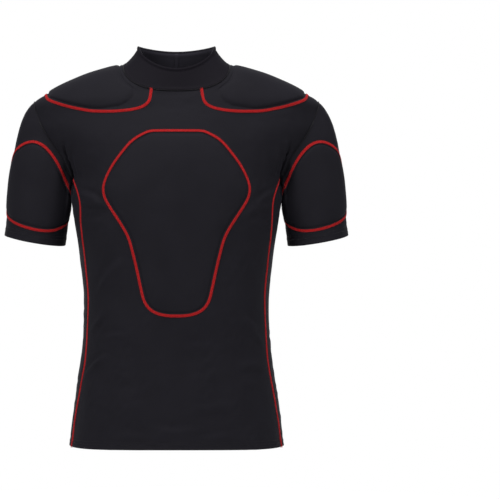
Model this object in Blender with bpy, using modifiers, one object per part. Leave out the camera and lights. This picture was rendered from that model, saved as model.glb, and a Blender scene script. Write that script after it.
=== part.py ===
"""Padded compression shirt, short sleeved, with a stand collar and sewn-on foam pads.

The shirt is shown filled out as if worn, with nobody in it. Every piece a maker
would cut and sew on is one closed solid. The cloth pieces are thin walls round
an open hollow. The pads lie on the cloth with their own thickness.

Axes: X runs to the wearer's left, Y to the back, Z up. The origin is at the
height where the shirt rests on the shoulders, on the body's middle line.
"""
import math

import bpy
import numpy as np

# Lengths in this file are in millimetres and are turned into metres at the end
METRES = 0.001

# Walls, seams and hems
CLOTH = 1.5
COLLAR_CLOTH = 1.8
SEAM_DRAW_BACK = 0.2
COLLAR_DRAW_BACK = 0.55
SEAM_LINE = 3.0
HEM_FOLD = 13.0
CUFF_FOLD = 16.0
FOLD_STEP = 1.6
FOLD_EXTRA = 0.7

# Where the body of the shirt ends
HEM_Z = -605.0
FRONT_HEM_RISE = 4.0
BACK_HEM_RISE = 28.0
ARMPIT_Z = -168.0
ARMPIT_DIP = 15.0

# The neck opening, on the shirt's own surface
NECK_SIDE_X = 86.0
NECK_FRONT_Z = -31.0
NECK_BACK_Z = 9.0
NECK_FRONT_SQUARE = 2.5
NECK_BACK_SQUARE = 2.2

# The collar's top edge
COLLAR_TOP_SIDE_X = 63.0
COLLAR_TOP_FRONT_Y = -67.0
COLLAR_TOP_BACK_Y = 54.0
COLLAR_TOP_FRONT_Z = 3.5
COLLAR_TOP_SIDE_Z = 46.5
COLLAR_TOP_BACK_Z = 42.0
COLLAR_HOLLOW = 1.15
COLLAR_CENTRE_Y = 8.0
COLLAR_SWEEP = 1.3

# The cuff ring
CUFF_X = 234.0
CUFF_Y = 28.0
CUFF_Z = -271.0
CUFF_HALF_WIDTH = 51.0
CUFF_HALF_DEPTH = 53.0
CUFF_TILT_DEG = 10.0
CUFF_FRONT_DROP = 4.5

# About how far it is from the middle line to a side seam, and from the armhole
# down to the cuff, used to set the lines that run close to an edge
HALF_PANEL_REACH = 270.0
SLEEVE_REACH = 190.0
SLEEVE_FIRST_ROW = 0.035

# How finely each piece is divided
HALF_COLUMNS = 13
NECK_COLUMNS = 7
BODY_ROWS = 14
UPPER_ROWS = 12
SIDE_COLUMNS = 4
RIDGE_LINE = 0.985
FINE = 400
RIDGE_SAMPLES = 6801
RIM_SAMPLES = 6
LEAST_SQUARE = 0.3
SLEEVE_ROWS = 8
COLLAR_ROWS = 4

# The pads
PAD_CLEARANCE = 0.55
SHOULDER_PAD_CLEARANCE = 0.9
PAD_RIM = 1.3
PAD_SHOULDER_WIDTH = 13.0
PAD_FLANGE = 4.0
CHEST_PAD_HEIGHT = 6.5
SHOULDER_PAD_HEIGHT = 7.0
BICEP_PAD_HEIGHT = 4.8

# The body's outline by height: half width at the sides, depth in front of and
# behind the side line, how far back the side line sits, and how square the
# section is (2 is an ellipse). Above the armpit the width reaches into the sleeve.
BODY_COLUMNS = ("z", "half_width", "front", "back", "side_line", "square")
BODY = (
    (-640.0, 180.0, 126.0, 124.0, 0.0, 2.3),
    (-606.0, 175.0, 124.0, 122.0, 0.0, 2.3),
    (-560.0, 170.5, 121.0, 120.0, 0.0, 2.3),
    (-500.0, 161.5, 119.0, 117.0, 0.0, 2.3),
    (-440.0, 153.8, 118.0, 116.0, 0.0, 2.3),
    (-370.0, 151.8, 119.0, 117.0, 1.0, 2.3),
    (-300.0, 158.0, 122.0, 119.0, 3.0, 2.3),
    (-235.0, 168.0, 126.0, 119.0, 6.0, 2.3),
    (-190.0, 172.3, 129.0, 117.5, 10.0, 2.3),
    (-174.0, 172.8, 130.0, 117.0, 12.0, 2.25),
    (-165.0, 175.5, 130.5, 116.5, 13.5, 2.2),
    (-156.0, 182.0, 130.5, 116.0, 14.5, 2.1),
    (-131.0, 206.0, 129.0, 115.0, 17.0, 1.9),
    (-108.0, 227.0, 126.0, 112.0, 20.0, 1.85),
    (-82.0, 240.0, 118.0, 105.0, 22.0, 1.85),
    (-60.0, 240.0, 109.0, 96.0, 22.0, 1.9),
    (-43.0, 233.5, 102.0, 87.0, 21.0, 2.0),
    (-32.0, 216.0, 97.0, 82.0, 20.0, 2.0),
    (-24.0, 199.0, 94.0, 78.0, 19.0, 2.0),
    (-12.0, 171.0, 89.0, 72.0, 18.0, 2.0),
    (-2.0, 146.0, 85.0, 66.0, 18.0, 2.0),
    (7.0, 118.0, 80.0, 60.0, 17.0, 2.0),
    (11.5, 104.0, 78.0, 56.0, 16.0, 2.0),
    (17.0, 86.0, 76.0, 54.0, 16.0, 2.0),
    (21.0, 66.0, 73.0, 51.0, 15.0, 2.0),
    (25.0, 36.0, 70.0, 48.0, 15.0, 2.0),
    (28.0, 0.5, 68.0, 46.0, 15.0, 2.0),
)

# The side seams' place round the body, in degrees from the very side
SEAM_COLUMNS = ("z", "front_seam", "back_seam")
SIDE_SEAMS = (
    (-606.0, 11.5, 15.0),
    (-560.0, 11.0, 15.0),
    (-515.0, 14.0, 15.5),
    (-480.0, 17.0, 16.0),
    (-430.0, 13.5, 16.0),
    (-400.0, 15.0, 16.0),
    (-370.0, 18.5, 16.0),
    (-335.0, 15.5, 15.5),
    (-300.0, 15.5, 15.0),
    (-260.0, 17.5, 15.0),
    (-215.0, 20.0, 14.0),
    (-195.0, 16.5, 12.0),
    (-168.0, 9.5, 9.5),
)

# The armhole's path seen from the front, from the side seam up to the shoulder
ARMHOLE_COLUMNS = ("x", "z")
ARMHOLE = (
    (177.0, -155.0),
    (183.5, -140.0),
    (193.0, -125.0),
    (206.0, -107.0),
    (218.5, -86.0),
    (228.5, -64.0),
    (233.5, -43.0),
)

# Which way the sleeve sets off from the armhole and arrives at the cuff, by
# quarter of the way round: underarm, front, shoulder, back
SLEEVE_COLUMNS = ("off_x", "off_y", "off_z", "in_x", "in_y", "in_z")
SLEEVE_SET = (
    (10.0, 0.0, -2.0, 20.0, 0.0, -104.0),
    (70.0, 10.0, -95.0, 22.0, 0.0, -165.0),
    (126.0, 0.0, -92.0, 31.0, 0.0, -225.0),
    (70.0, -10.0, -95.0, 22.0, 0.0, -165.0),
)

# The chest pad's half width by height
CHEST_COLUMNS = ("z", "half_width")
CHEST_PAD = (
    (-97.0, 44.0),
    (-101.0, 51.0),
    (-109.0, 66.0),
    (-118.0, 76.0),
    (-131.0, 86.5),
    (-146.0, 98.0),
    (-162.0, 107.5),
    (-175.0, 113.3),
    (-189.0, 116.8),
    (-203.0, 114.0),
    (-217.0, 106.2),
    (-232.0, 96.3),
    (-247.0, 86.5),
    (-266.0, 76.0),
    (-288.0, 69.6),
    (-319.0, 62.1),
    (-351.0, 55.2),
    (-367.0, 51.2),
    (-379.0, 43.3),
    (-386.0, 32.0),
    (-390.0, 14.0),
)
CHEST_SPREAD = (0.0, 0.24, 0.46, 0.66, 0.82, 0.93, 1.0)

# The shoulder pad's edge on the front by height, and on the back by its drop,
# which is how far below the shoulder ridge the edge lies
SHOULDER_FRONT_COLUMNS = ("x", "z")
SHOULDER_FRONT = (
    (40.7, -33.5),
    (42.0, -43.5),
    (48.2, -54.0),
    (59.0, -59.7),
    (74.0, -62.8),
    (90.0, -64.2),
    (116.0, -64.6),
    (144.0, -62.4),
    (159.0, -59.0),
    (179.0, -53.8),
    (197.5, -47.6),
    (210.0, -42.8),
)
SHOULDER_BACK_COLUMNS = ("x", "drop")
SHOULDER_BACK = (
    (101.0, 13.0),
    (112.0, 15.0),
    (130.0, 16.0),
    (150.0, 17.0),
    (170.0, 18.5),
    (190.0, 19.0),
    (205.0, 16.5),
    (217.0, 9.0),
)
NECK_CLEARANCE = 2.4
NECK_SPOTS = 10
NECK_FIRST_SPOT = 4
NECK_DROP_ROOM = 0.25
NECK_CORNER = (93.0, -1.0)
# The pad's outer end, by distance from the middle and the drop's square root
SHOULDER_TIP = ((213.5, 1.9), (216.0, 0.0), (218.0, -1.7))
SHOULDER_SPREAD = (0.0, 0.045, 0.12, 0.22, 0.33, 0.44, 0.55, 0.66, 0.77, 0.88, 0.955, 1.0)
SHOULDER_ACROSS = (
    0.0, 0.06, 0.13, 0.21, 0.3, 0.39, 0.47, 0.55, 0.63, 0.71, 0.79, 0.87, 0.94, 1.0,
)

# The upper arm pad's outline on the sleeve: part of the way round from the
# underarm by the front (0.5 is the outer side), and part of the way to the cuff
BICEP_COLUMNS = ("around", "along")
BICEP_LOWER = (
    (-0.045, 0.53),
    (-0.02, 0.60),
    (0.02, 0.675),
    (0.06, 0.725),
    (0.10, 0.782),
    (0.145, 0.833),
    (0.20, 0.864),
    (0.27, 0.872),
    (0.36, 0.872),
    (0.45, 0.861),
    (0.53, 0.853),
    (0.59, 0.835),
)
BICEP_UPPER = (
    (-0.045, 0.44),
    (-0.02, 0.385),
    (0.02, 0.34),
    (0.06, 0.295),
    (0.09, 0.247),
    (0.12, 0.192),
    (0.155, 0.148),
    (0.20, 0.108),
    (0.24, 0.103),
    (0.285, 0.13),
    (0.33, 0.194),
    (0.375, 0.284),
    (0.42, 0.39),
    (0.475, 0.52),
    (0.53, 0.64),
    (0.59, 0.76),
)
BICEP_ENDS = (-0.045, 0.59)
BICEP_SPREAD = (0.0, 0.08, 0.2, 0.36, 0.52, 0.68, 0.82, 0.93, 1.0)

# Colours of the cloth and the pads
COLOURS = {
    "cloth": (0.018, 0.018, 0.023, 1.0),
    "collar": (0.020, 0.020, 0.026, 1.0),
    "pad": (0.022, 0.022, 0.028, 1.0),
}
ROUGHNESS = 0.62
SHARP_DEG = 50.0


def smooth_rows(table, at):
    """Read a table at any value of its first column, with no corners."""
    rows = np.array(table, float)
    keys = rows[:, 0]
    values = rows[:, 1:]
    step = np.diff(keys)[:, None]
    slope = np.diff(values, axis=0) / step
    lean = np.empty_like(values)
    lean[0] = slope[0]
    lean[-1] = slope[-1]
    lean[1:-1] = (slope[:-1] * step[1:] + slope[1:] * step[:-1]) / (step[1:] + step[:-1])
    turning = slope[:-1] * slope[1:] <= 0.0
    lean[1:-1][turning] = 0.0
    at = np.clip(np.asarray(at, float), keys[0], keys[-1])
    low = np.clip(np.searchsorted(keys, at, side="right") - 1, 0, len(keys) - 2)
    width = (keys[low + 1] - keys[low])[..., None]
    u = (at - keys[low])[..., None] / width
    start = (1 + 2 * u) * (1 - u) ** 2 * values[low]
    end = u * u * (3 - 2 * u) * values[low + 1]
    bend = u * (1 - u) ** 2 * lean[low] + u * u * (u - 1) * lean[low + 1]
    return start + end + width * bend


# The shoulder ridge is where the body's half width closes, read from above
RIDGE_Z = np.linspace(ARMHOLE[-1][1], BODY[-1][0], RIDGE_SAMPLES)
RIDGE_X = smooth_rows(BODY, RIDGE_Z)[:, 0]


def ridge_height(x):
    """Height of the shoulder ridge at a distance from the middle line."""
    return np.interp(np.abs(x), RIDGE_X[::-1], RIDGE_Z[::-1])


def body_point(x, z, side):
    """A point of the body's surface; side is -1 in front and +1 behind."""
    x = np.asarray(x, float)
    z = np.asarray(z, float)
    half, front, back, line, square = np.moveaxis(smooth_rows(BODY, z), -1, 0)
    part = np.clip(np.abs(x) / np.maximum(half, 1.0), 0.0, 1.0)
    bulge = np.power(np.maximum(1.0 - np.power(part, square), 0.0), 1.0 / square)
    depth = np.where(side < 0, front, back)
    return np.stack([x, line + side * depth * bulge, z], axis=-1)


def ridge_point(x):
    """A point on the shoulder ridge, where front and back meet."""
    z = ridge_height(x)
    line = smooth_rows(BODY, z)[..., 3]
    return np.stack([np.asarray(x, float), line, z], axis=-1)


def side_point(angle, z):
    """A point round the body, by its angle in degrees from the very side.

    Positive angles are in front, negative ones behind.
    """
    angle = np.asarray(angle, float)
    z = np.asarray(z, float)
    half, front, back, line, square = np.moveaxis(smooth_rows(BODY, z), -1, 0)
    turn = np.radians(np.abs(angle))
    across = half * np.power(np.maximum(np.cos(turn), 0.0), 2.0 / square)
    depth = np.where(angle > 0, front, back) * np.power(np.sin(turn), 2.0 / square)
    return np.stack([across, line - np.sign(angle) * depth, z], axis=-1)


def seam_angle(z, side):
    """The side seam's angle from the very side, in front or behind."""
    return smooth_rows(SIDE_SEAMS, z)[..., 0 if side < 0 else 1]


def drop_of(x, z):
    """How far below the ridge a height lies, as its square root."""
    return np.sqrt(np.maximum(ridge_height(x) - z, 0.0))


def fill_in(bottom, top, start, end, across, up):
    """A grid between four edge lines; rows run from bottom to top."""
    u = np.asarray(across)[None, :, None]
    v = np.asarray(up)[:, None, None]
    rails = (1 - v) * bottom[None] + v * top[None]
    sides = (1 - u) * start[:, None] + u * end[:, None]
    low = (1 - u) * bottom[0] + u * bottom[-1]
    high = (1 - u) * top[0] + u * top[-1]
    return rails + sides - (1 - v) * low - v * high


def spread_line(points, shares):
    """Points on a smooth line through the given ones, at parts of its length."""
    points = np.array(points, float)
    reach = np.linalg.norm(np.diff(points, axis=0), axis=1)
    length = np.concatenate([[0.0], np.cumsum(reach)]) / reach.sum()
    return smooth_rows(np.column_stack([length, points]), np.array(shares))


def neckline(side, count):
    """The neck opening's edge on one half, from the middle to the side."""
    middle = NECK_FRONT_Z if side < 0 else NECK_BACK_Z
    square = NECK_FRONT_SQUARE if side < 0 else NECK_BACK_SQUARE
    top = ridge_height(NECK_SIDE_X)
    turn = np.linspace(0.0, 0.5 * math.pi, FINE)
    x = NECK_SIDE_X * np.power(np.sin(turn), 2.0 / square)
    z = top + (middle - top) * np.power(np.maximum(np.cos(turn), 0.0), 2.0 / square)
    path = np.column_stack([x, z])
    reach = np.linalg.norm(np.diff(body_point(x, z, side), axis=0), axis=1)
    length = np.concatenate([[0.0], np.cumsum(reach)])
    even = np.linspace(0.0, length[-1], count)
    return np.column_stack([np.interp(even, length, path[:, k]) for k in (0, 1)])


def body_rows():
    """Parts of the way from the hem up to the armpit, with the hem's fold first."""
    tall = ARMPIT_Z - HEM_Z
    fold = (0.0, HEM_FOLD / tall, (HEM_FOLD + FOLD_STEP) / tall)
    rest = np.linspace(fold[-1], 1.0, BODY_ROWS + 1)[1:]
    return np.concatenate([fold, rest])


def panel_shares():
    """Parts of the way across a half panel, with a line close to its seam."""
    even = np.linspace(0.0, 1.0, HALF_COLUMNS + 1)
    return np.concatenate([even[:-1], (1.0 - SEAM_LINE / HALF_PANEL_REACH, 1.0)])


def upper_shares():
    """Parts of the way from the armpit up, with a line close to the ridge."""
    even = np.linspace(0.0, 1.0, UPPER_ROWS + 1)
    return np.concatenate([even[:-1], (RIDGE_LINE, 1.0)])


def armhole_edge(seam_x, side, shares):
    """The armhole's edge as distance from the middle and drop, spread evenly."""
    path = spread_line(((seam_x, ARMPIT_Z),) + ARMHOLE, np.linspace(0.0, 1.0, FINE))
    reach = np.linalg.norm(np.diff(body_point(path[:, 0], path[:, 1], side), axis=0), axis=1)
    length = np.concatenate([[0.0], np.cumsum(reach)]) / reach.sum()
    drop = drop_of(path[:, 0], path[:, 1])
    return np.column_stack([np.interp(shares, length, k) for k in (path[:, 0], drop)])


def half_panel(side):
    """One half of the front or back, from the middle line to seam and armhole."""
    share = panel_shares()
    rise = FRONT_HEM_RISE if side < 0 else BACK_HEM_RISE
    hem = HEM_Z + rise * np.cos(0.5 * math.pi * share) ** 2
    lower = []
    for part in body_rows():
        z = hem + (ARMPIT_Z - hem) * part
        turn = 90.0 - (90.0 - seam_angle(z, side)) * share
        lower.append(side_point(-side * turn, z))
    lower = np.array(lower)
    lower[:, 0, 0] = 0.0
    # The upper part is laid out by distance from the middle and drop below the ridge
    bottom = np.column_stack([lower[-1, :, 0], drop_of(lower[-1, :, 0], ARMPIT_Z)])
    neck = neckline(side, NECK_COLUMNS + 1)
    neck = np.column_stack([neck[:, 0], drop_of(neck[:, 0], neck[:, 1])])
    armhole_top = ARMHOLE[-1][0]
    ridge = np.linspace(NECK_SIDE_X, armhole_top, HALF_COLUMNS - NECK_COLUMNS + 1)
    ridge = np.concatenate([ridge[:-1], (armhole_top - SEAM_LINE, armhole_top)])
    ridge = np.column_stack([ridge, np.zeros_like(ridge)])
    top = np.concatenate([neck[:-1], ridge])
    rows = upper_shares()
    end = armhole_edge(bottom[-1, 0], side, rows)
    end[-1] = top[-1]
    down = bottom[0, 1] + (top[0, 1] - bottom[0, 1]) * rows
    start = np.column_stack([np.zeros_like(down), down])
    grid = fill_in(bottom, top, start, end, share, rows)
    x = grid[..., 0]
    z = ridge_height(x) - grid[..., 1] ** 2
    upper = body_point(x, z, side)
    upper[-1, NECK_COLUMNS:] = ridge_point(x[-1, NECK_COLUMNS:])
    return np.concatenate([lower, upper[1:]])


def side_panel():
    """The long panel under the left arm, from the front seam to the back one."""
    share = np.linspace(0.0, 1.0, SIDE_COLUMNS + 1)
    dip = ARMPIT_DIP * np.sin(math.pi * share)
    rows = []
    for part in body_rows():
        level = HEM_Z + (ARMPIT_Z - HEM_Z) * part
        front = seam_angle(level, -1)
        back = seam_angle(level, 1)
        turn = front + (-back - front) * share
        rows.append(side_point(turn, level - dip * part ** 8))
    return np.array(rows)


def armhole_ring(front, side, back):
    """The left armhole, from the underarm forward, over the shoulder and back."""
    middle = SIDE_COLUMNS // 2
    first = side[-1, :middle + 1][::-1]
    above = UPPER_ROWS + 1
    ahead = front[-above:, -1]
    over = back[-above - 1:-1, -1][::-1]
    last = side[-1, middle + 1:-1][::-1]
    ring = np.concatenate([first, ahead, over, last])
    closed = np.concatenate([ring, ring[:1]])
    reach = np.linalg.norm(np.diff(closed, axis=0), axis=1)
    length = np.concatenate([[0.0], np.cumsum(reach)])
    top = len(first) + len(ahead) - 1
    share = np.where(
        length <= length[top],
        0.5 * length / length[top],
        0.5 + 0.5 * (length - length[top]) / (length[-1] - length[top]),
    )
    return ring, share[:-1]


def ring_table(share, ring):
    """The armhole as a table that can be read past its own start and end."""
    before = np.column_stack([share[-4:] - 1.0, ring[-4:]])
    inside = np.column_stack([share, ring])
    after = np.column_stack([share[:4] + 1.0, ring[:4]])
    return np.concatenate([before, inside, after])


def sleeve_point(hole, around, along):
    """A point of the left sleeve, part of the way round and down to the cuff."""
    around, along = np.broadcast_arrays(np.asarray(around, float), np.asarray(along, float))
    start = smooth_rows(hole, around)
    turn = 2.0 * math.pi * around
    tilt = math.radians(CUFF_TILT_DEG)
    end = np.stack([
        CUFF_X - CUFF_HALF_WIDTH * np.cos(turn) * math.cos(tilt),
        CUFF_Y - CUFF_HALF_DEPTH * np.sin(turn),
        CUFF_Z - CUFF_HALF_WIDTH * np.cos(turn) * math.sin(tilt) - CUFF_FRONT_DROP * np.sin(turn),
    ], axis=-1)
    spot = (around % 1.0) * 4.0
    low = np.floor(spot).astype(int) % 4
    blend = (0.5 - 0.5 * np.cos(math.pi * (spot - np.floor(spot))))[..., None]
    setting = np.array(SLEEVE_SET)
    way = setting[low] * (1 - blend) + setting[(low + 1) % 4] * blend
    s = along[..., None]
    body = (1 + 2 * s) * (1 - s) ** 2 * start + s * s * (3 - 2 * s) * end
    return body + s * (1 - s) ** 2 * way[..., :3] + s * s * (s - 1) * way[..., 3:]


def sleeve_rows():
    """Parts of the way down the sleeve, ending with the cuff's fold."""
    fold = CUFF_FOLD / SLEEVE_REACH
    step = FOLD_STEP / SLEEVE_REACH
    lead = (0.0, SLEEVE_FIRST_ROW)
    body = np.linspace(SLEEVE_FIRST_ROW, 1.0 - fold - step, SLEEVE_ROWS)[1:]
    return np.concatenate([lead, body, (1.0 - fold, 1.0)])


def collar_grid(neck):
    """The stand collar, from the neckline ring up to its top edge."""
    turn = np.arctan2(neck[:, 0], COLLAR_CENTRE_Y - neck[:, 1])
    ahead = np.cos(turn)
    x = COLLAR_TOP_SIDE_X * np.sin(turn)
    centre = 0.5 * (COLLAR_TOP_FRONT_Y + COLLAR_TOP_BACK_Y)
    half = 0.5 * (COLLAR_TOP_BACK_Y - COLLAR_TOP_FRONT_Y)
    y = centre - half * ahead
    low = np.where(ahead > 0, COLLAR_TOP_FRONT_Z, COLLAR_TOP_BACK_Z)
    z = COLLAR_TOP_SIDE_Z + (low - COLLAR_TOP_SIDE_Z) * np.abs(ahead) ** COLLAR_SWEEP
    top = np.column_stack([x, y, z])
    rows = []
    for part in np.linspace(0.0, 1.0, COLLAR_ROWS + 1):
        lean = neck + (top - neck) * np.array([1.0, 1.0, 0.0]) * (1.0 - (1.0 - part) ** COLLAR_HOLLOW)
        lean[:, 2] = neck[:, 2] + (top[:, 2] - neck[:, 2]) * part
        rows.append(lean)
    return np.array(rows)


def mirrored(grid):
    """The same grid on the other side, with its columns run the other way."""
    return (grid * np.array([-1.0, 1.0, 1.0]))[:, ::-1]


def draw_back(grid, edge, amount):
    """Move one edge of a grid a little into its own piece, to leave a seam gap."""
    moved = grid.copy()
    view = {
        "first_row": moved,
        "last_row": moved[::-1],
        "first_column": moved.swapaxes(0, 1),
        "last_column": moved.swapaxes(0, 1)[::-1],
    }[edge]
    rim = view[0].copy()
    way = view[1] - rim
    line = np.gradient(rim, axis=0)
    line = line / np.linalg.norm(line, axis=1, keepdims=True)
    square = way - np.sum(way * line, axis=1, keepdims=True) * line
    reach = np.linalg.norm(square, axis=1, keepdims=True)
    least = LEAST_SQUARE * np.linalg.norm(way, axis=1, keepdims=True)
    view[0] = rim + way * (amount / np.maximum(reach, least))
    return moved


def rim_distance(grid):
    """How far each point of a pad lies from the pad's outline."""
    edge = np.concatenate([grid[0], grid[1:, -1], grid[-1, ::-1][1:], grid[::-1, 0][1:]])
    fine = []
    for start, end in zip(edge[:-1], edge[1:]):
        for part in np.linspace(0.0, 1.0, RIM_SAMPLES)[:-1]:
            fine.append(start + (end - start) * part)
    gaps = np.linalg.norm(grid.reshape(-1, 1, 3) - np.array(fine)[None], axis=-1)
    return gaps.min(axis=1).reshape(grid.shape[:2])


def chest_pad_grid():
    """The chest pad's ground on the front, row by row from its foot up."""
    share = np.array(CHEST_SPREAD)
    share = np.concatenate([-share[:0:-1], share])
    rows = []
    for z, half in reversed(CHEST_PAD):
        rows.append(body_point(half * share, np.full_like(share, z), -1))
    return np.array(rows)


def over_shoulder(spots):
    """Points on the shoulder from distance from the middle and signed drop.

    The drop is the square root of the height below the ridge, positive in front.
    """
    x = spots[..., 0]
    z = ridge_height(x) - spots[..., 1] ** 2
    return body_point(x, z, np.where(spots[..., 1] > 0, -1.0, 1.0))


def shoulder_line(points, shares):
    """A line over the shoulder, with its points spread along the cloth."""
    path = spread_line(points, np.linspace(0.0, 1.0, FINE))
    reach = np.linalg.norm(np.diff(over_shoulder(path), axis=0), axis=1)
    length = np.concatenate([[0.0], np.cumsum(reach)]) / reach.sum()
    return np.column_stack([np.interp(shares, length, k) for k in path.T])


def shoulder_pad_grid():
    """The left shoulder pad's ground, from its front edge over the ridge."""
    front = [(x, float(drop_of(x, z))) for x, z in SHOULDER_FRONT]
    back = [(x, -drop ** 0.5) for x, drop in SHOULDER_BACK]
    bottom = shoulder_line(front, SHOULDER_SPREAD)
    top = shoulder_line(back, SHOULDER_SPREAD)
    neck = neckline(-1, NECK_SPOTS)[NECK_FIRST_SPOT:]
    clear = NECK_CLEARANCE * (neck[:, 0] / NECK_SIDE_X) ** 2
    neck = np.column_stack([neck[:, 0] + clear, drop_of(neck[:, 0], neck[:, 1]) + NECK_DROP_ROOM])
    inside = [front[0]] + neck.tolist() + [NECK_CORNER, back[0]]
    start = shoulder_line(inside, SHOULDER_ACROSS)
    end = shoulder_line((front[-1],) + SHOULDER_TIP + (back[-1],), SHOULDER_ACROSS)
    return over_shoulder(fill_in(bottom, top, start, end, SHOULDER_SPREAD, SHOULDER_ACROSS))


def bicep_pad_grid(hole, share):
    """The left upper arm pad's ground on the sleeve, on the sleeve's own lines."""
    around = np.concatenate([share - 1.0, share])
    around = around[(around > BICEP_ENDS[0]) & (around < BICEP_ENDS[1])]
    lower = smooth_rows(BICEP_LOWER, around)[:, 0]
    upper = smooth_rows(BICEP_UPPER, around)[:, 0]
    v = np.array(BICEP_SPREAD)[:, None]
    along = lower * (1 - v) + upper * v
    return sleeve_point(hole, around[None, :], along)


def add_surface(name, grid, ring, colour, where):
    """An open surface through a grid of points, in metres."""
    rows, columns = grid.shape[:2]
    faces = []
    for r in range(rows - 1):
        for c in range(columns if ring else columns - 1):
            n = (c + 1) % columns
            below, above = r * columns, (r + 1) * columns
            faces.append((below + c, below + n, above + n, above + c))
    mesh = bpy.data.meshes.new(name)
    mesh.from_pydata((grid.reshape(-1, 3) * METRES).tolist(), [], faces)
    look = bpy.data.materials.new(name + "_material")
    look.use_nodes = True
    shader = look.node_tree.nodes["Principled BSDF"]
    shader.inputs["Base Color"].default_value = COLOURS[colour]
    shader.inputs["Roughness"].default_value = ROUGHNESS
    shader.inputs["Metallic"].default_value = 0.0
    mesh.materials.append(look)
    mesh.shade_smooth()
    mesh.set_sharp_from_angle(angle=math.radians(SHARP_DEG))
    piece = bpy.data.objects.new(name, mesh)
    where.objects.link(piece)
    return piece


def give_thickness(piece, thick, share, offset):
    """Turn an open surface into a closed wall; share is each point's part of it."""
    group = piece.vertex_groups.new(name="thickness")
    for index, part in enumerate(share.ravel().tolist()):
        group.add([index], part, "REPLACE")
    solid = piece.modifiers.new("wall", "SOLIDIFY")
    solid.thickness = thick * METRES
    solid.offset = offset
    solid.use_even_offset = True
    solid.vertex_group = group.name
    solid.thickness_vertex_group = 0.0
    split = piece.modifiers.new("flat_faces", "TRIANGULATE")
    split.quad_method = "SHORTEST_DIAGONAL"


def add_cloth(name, grid, ring, seams, thick, where, halved=False):
    """One cloth piece: drawn back at its seams and thicker along a folded edge."""
    amount = COLLAR_DRAW_BACK if name == "collar" else SEAM_DRAW_BACK
    for edge in seams:
        grid = draw_back(grid, edge, amount)
    full = thick if name == "collar" else thick + FOLD_EXTRA
    share = np.full(grid.shape[:2], thick / full)
    share[:2] = 1.0
    colour = "collar" if name == "collar" else "cloth"
    piece = add_surface(name, grid, ring, colour, where)
    if halved:
        mirror = piece.modifiers.new("other_half", "MIRROR")
        mirror.merge_threshold = 0.0001
    give_thickness(piece, full, share, -1.0)


def add_pad(name, ground, clearance, height, where):
    """One foam pad on the cloth: flat round its rim and raised inside it."""
    rise = np.clip((rim_distance(ground) - PAD_FLANGE) / PAD_SHOULDER_WIDTH, 0.0, 1.0)
    rise = rise * rise * (3.0 - 2.0 * rise)
    share = (PAD_RIM + (height - PAD_RIM) * rise) / height
    across = ground[1:, 1:] - ground[:-1, :-1]
    along = ground[1:, :-1] - ground[:-1, 1:]
    face = np.cross(across, along)
    normal = np.zeros_like(ground)
    for rows in (slice(None, -1), slice(1, None)):
        for columns in (slice(None, -1), slice(1, None)):
            normal[rows, columns] += face
    normal = normal / np.linalg.norm(normal, axis=-1, keepdims=True)
    piece = add_surface(name, ground + normal * clearance, False, "pad", where)
    give_thickness(piece, height, share, 1.0)


def build():
    """Build every piece of the shirt."""
    for old in list(bpy.data.objects):
        bpy.data.objects.remove(old, do_unlink=True)
    where = bpy.data.collections.new("padded_compression_shirt")
    bpy.context.scene.collection.children.link(where)

    front = half_panel(-1)
    back = half_panel(1)
    side = side_panel()
    ring, share = armhole_ring(front, side, back)
    hole = ring_table(share, ring)
    down = sleeve_rows()
    sleeve = sleeve_point(hole, share[None, :], down[:, None])[::-1]
    left = np.concatenate([front[-1, :NECK_COLUMNS + 1], back[-1, :NECK_COLUMNS][::-1]])
    right = (left * np.array([-1.0, 1.0, 1.0]))[1:-1][::-1]
    collar = collar_grid(np.concatenate([left, right]))

    above = ("last_column", "last_row")
    add_cloth("front_panel", front, False, above, CLOTH, where, halved=True)
    above = ("first_column", "last_row")
    add_cloth("back_panel", back[:, ::-1], False, above, CLOTH, where, halved=True)
    round_side = ("first_column", "last_column", "last_row")
    chest = chest_pad_grid()
    add_pad("chest_pad", chest, PAD_CLEARANCE, CHEST_PAD_HEIGHT, where)
    shoulder = shoulder_pad_grid()
    bicep = bicep_pad_grid(hole, share)
    for name, turn in (("left", np.asarray), ("right", mirrored)):
        add_cloth("side_panel_" + name, turn(side), False, round_side, CLOTH, where)
        add_cloth("sleeve_" + name, turn(sleeve), True, ("last_row",), CLOTH, where)
        over, arm = "shoulder_pad_" + name, "bicep_pad_" + name
        add_pad(over, turn(shoulder), SHOULDER_PAD_CLEARANCE, SHOULDER_PAD_HEIGHT, where)
        add_pad(arm, turn(bicep), PAD_CLEARANCE, BICEP_PAD_HEIGHT, where)
    add_cloth("collar", collar, True, ("first_row",), COLLAR_CLOTH, where)


build()
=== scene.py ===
# %% [markdown]
# # A padded compression shirt
#
# A close-fitting stretch shirt with a stand collar and five foam pads under red
# seams. It is shown filled out as if worn, with nobody in it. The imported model
# gives each piece as a plain closed solid. Here each one gets its real surface:
# thin knit cloth with small folds, soft pads, and thread-by-thread seams.

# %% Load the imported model
import math

import bmesh
import bpy
import numpy as np
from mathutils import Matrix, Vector
from mathutils.bvhtree import BVHTree


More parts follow.
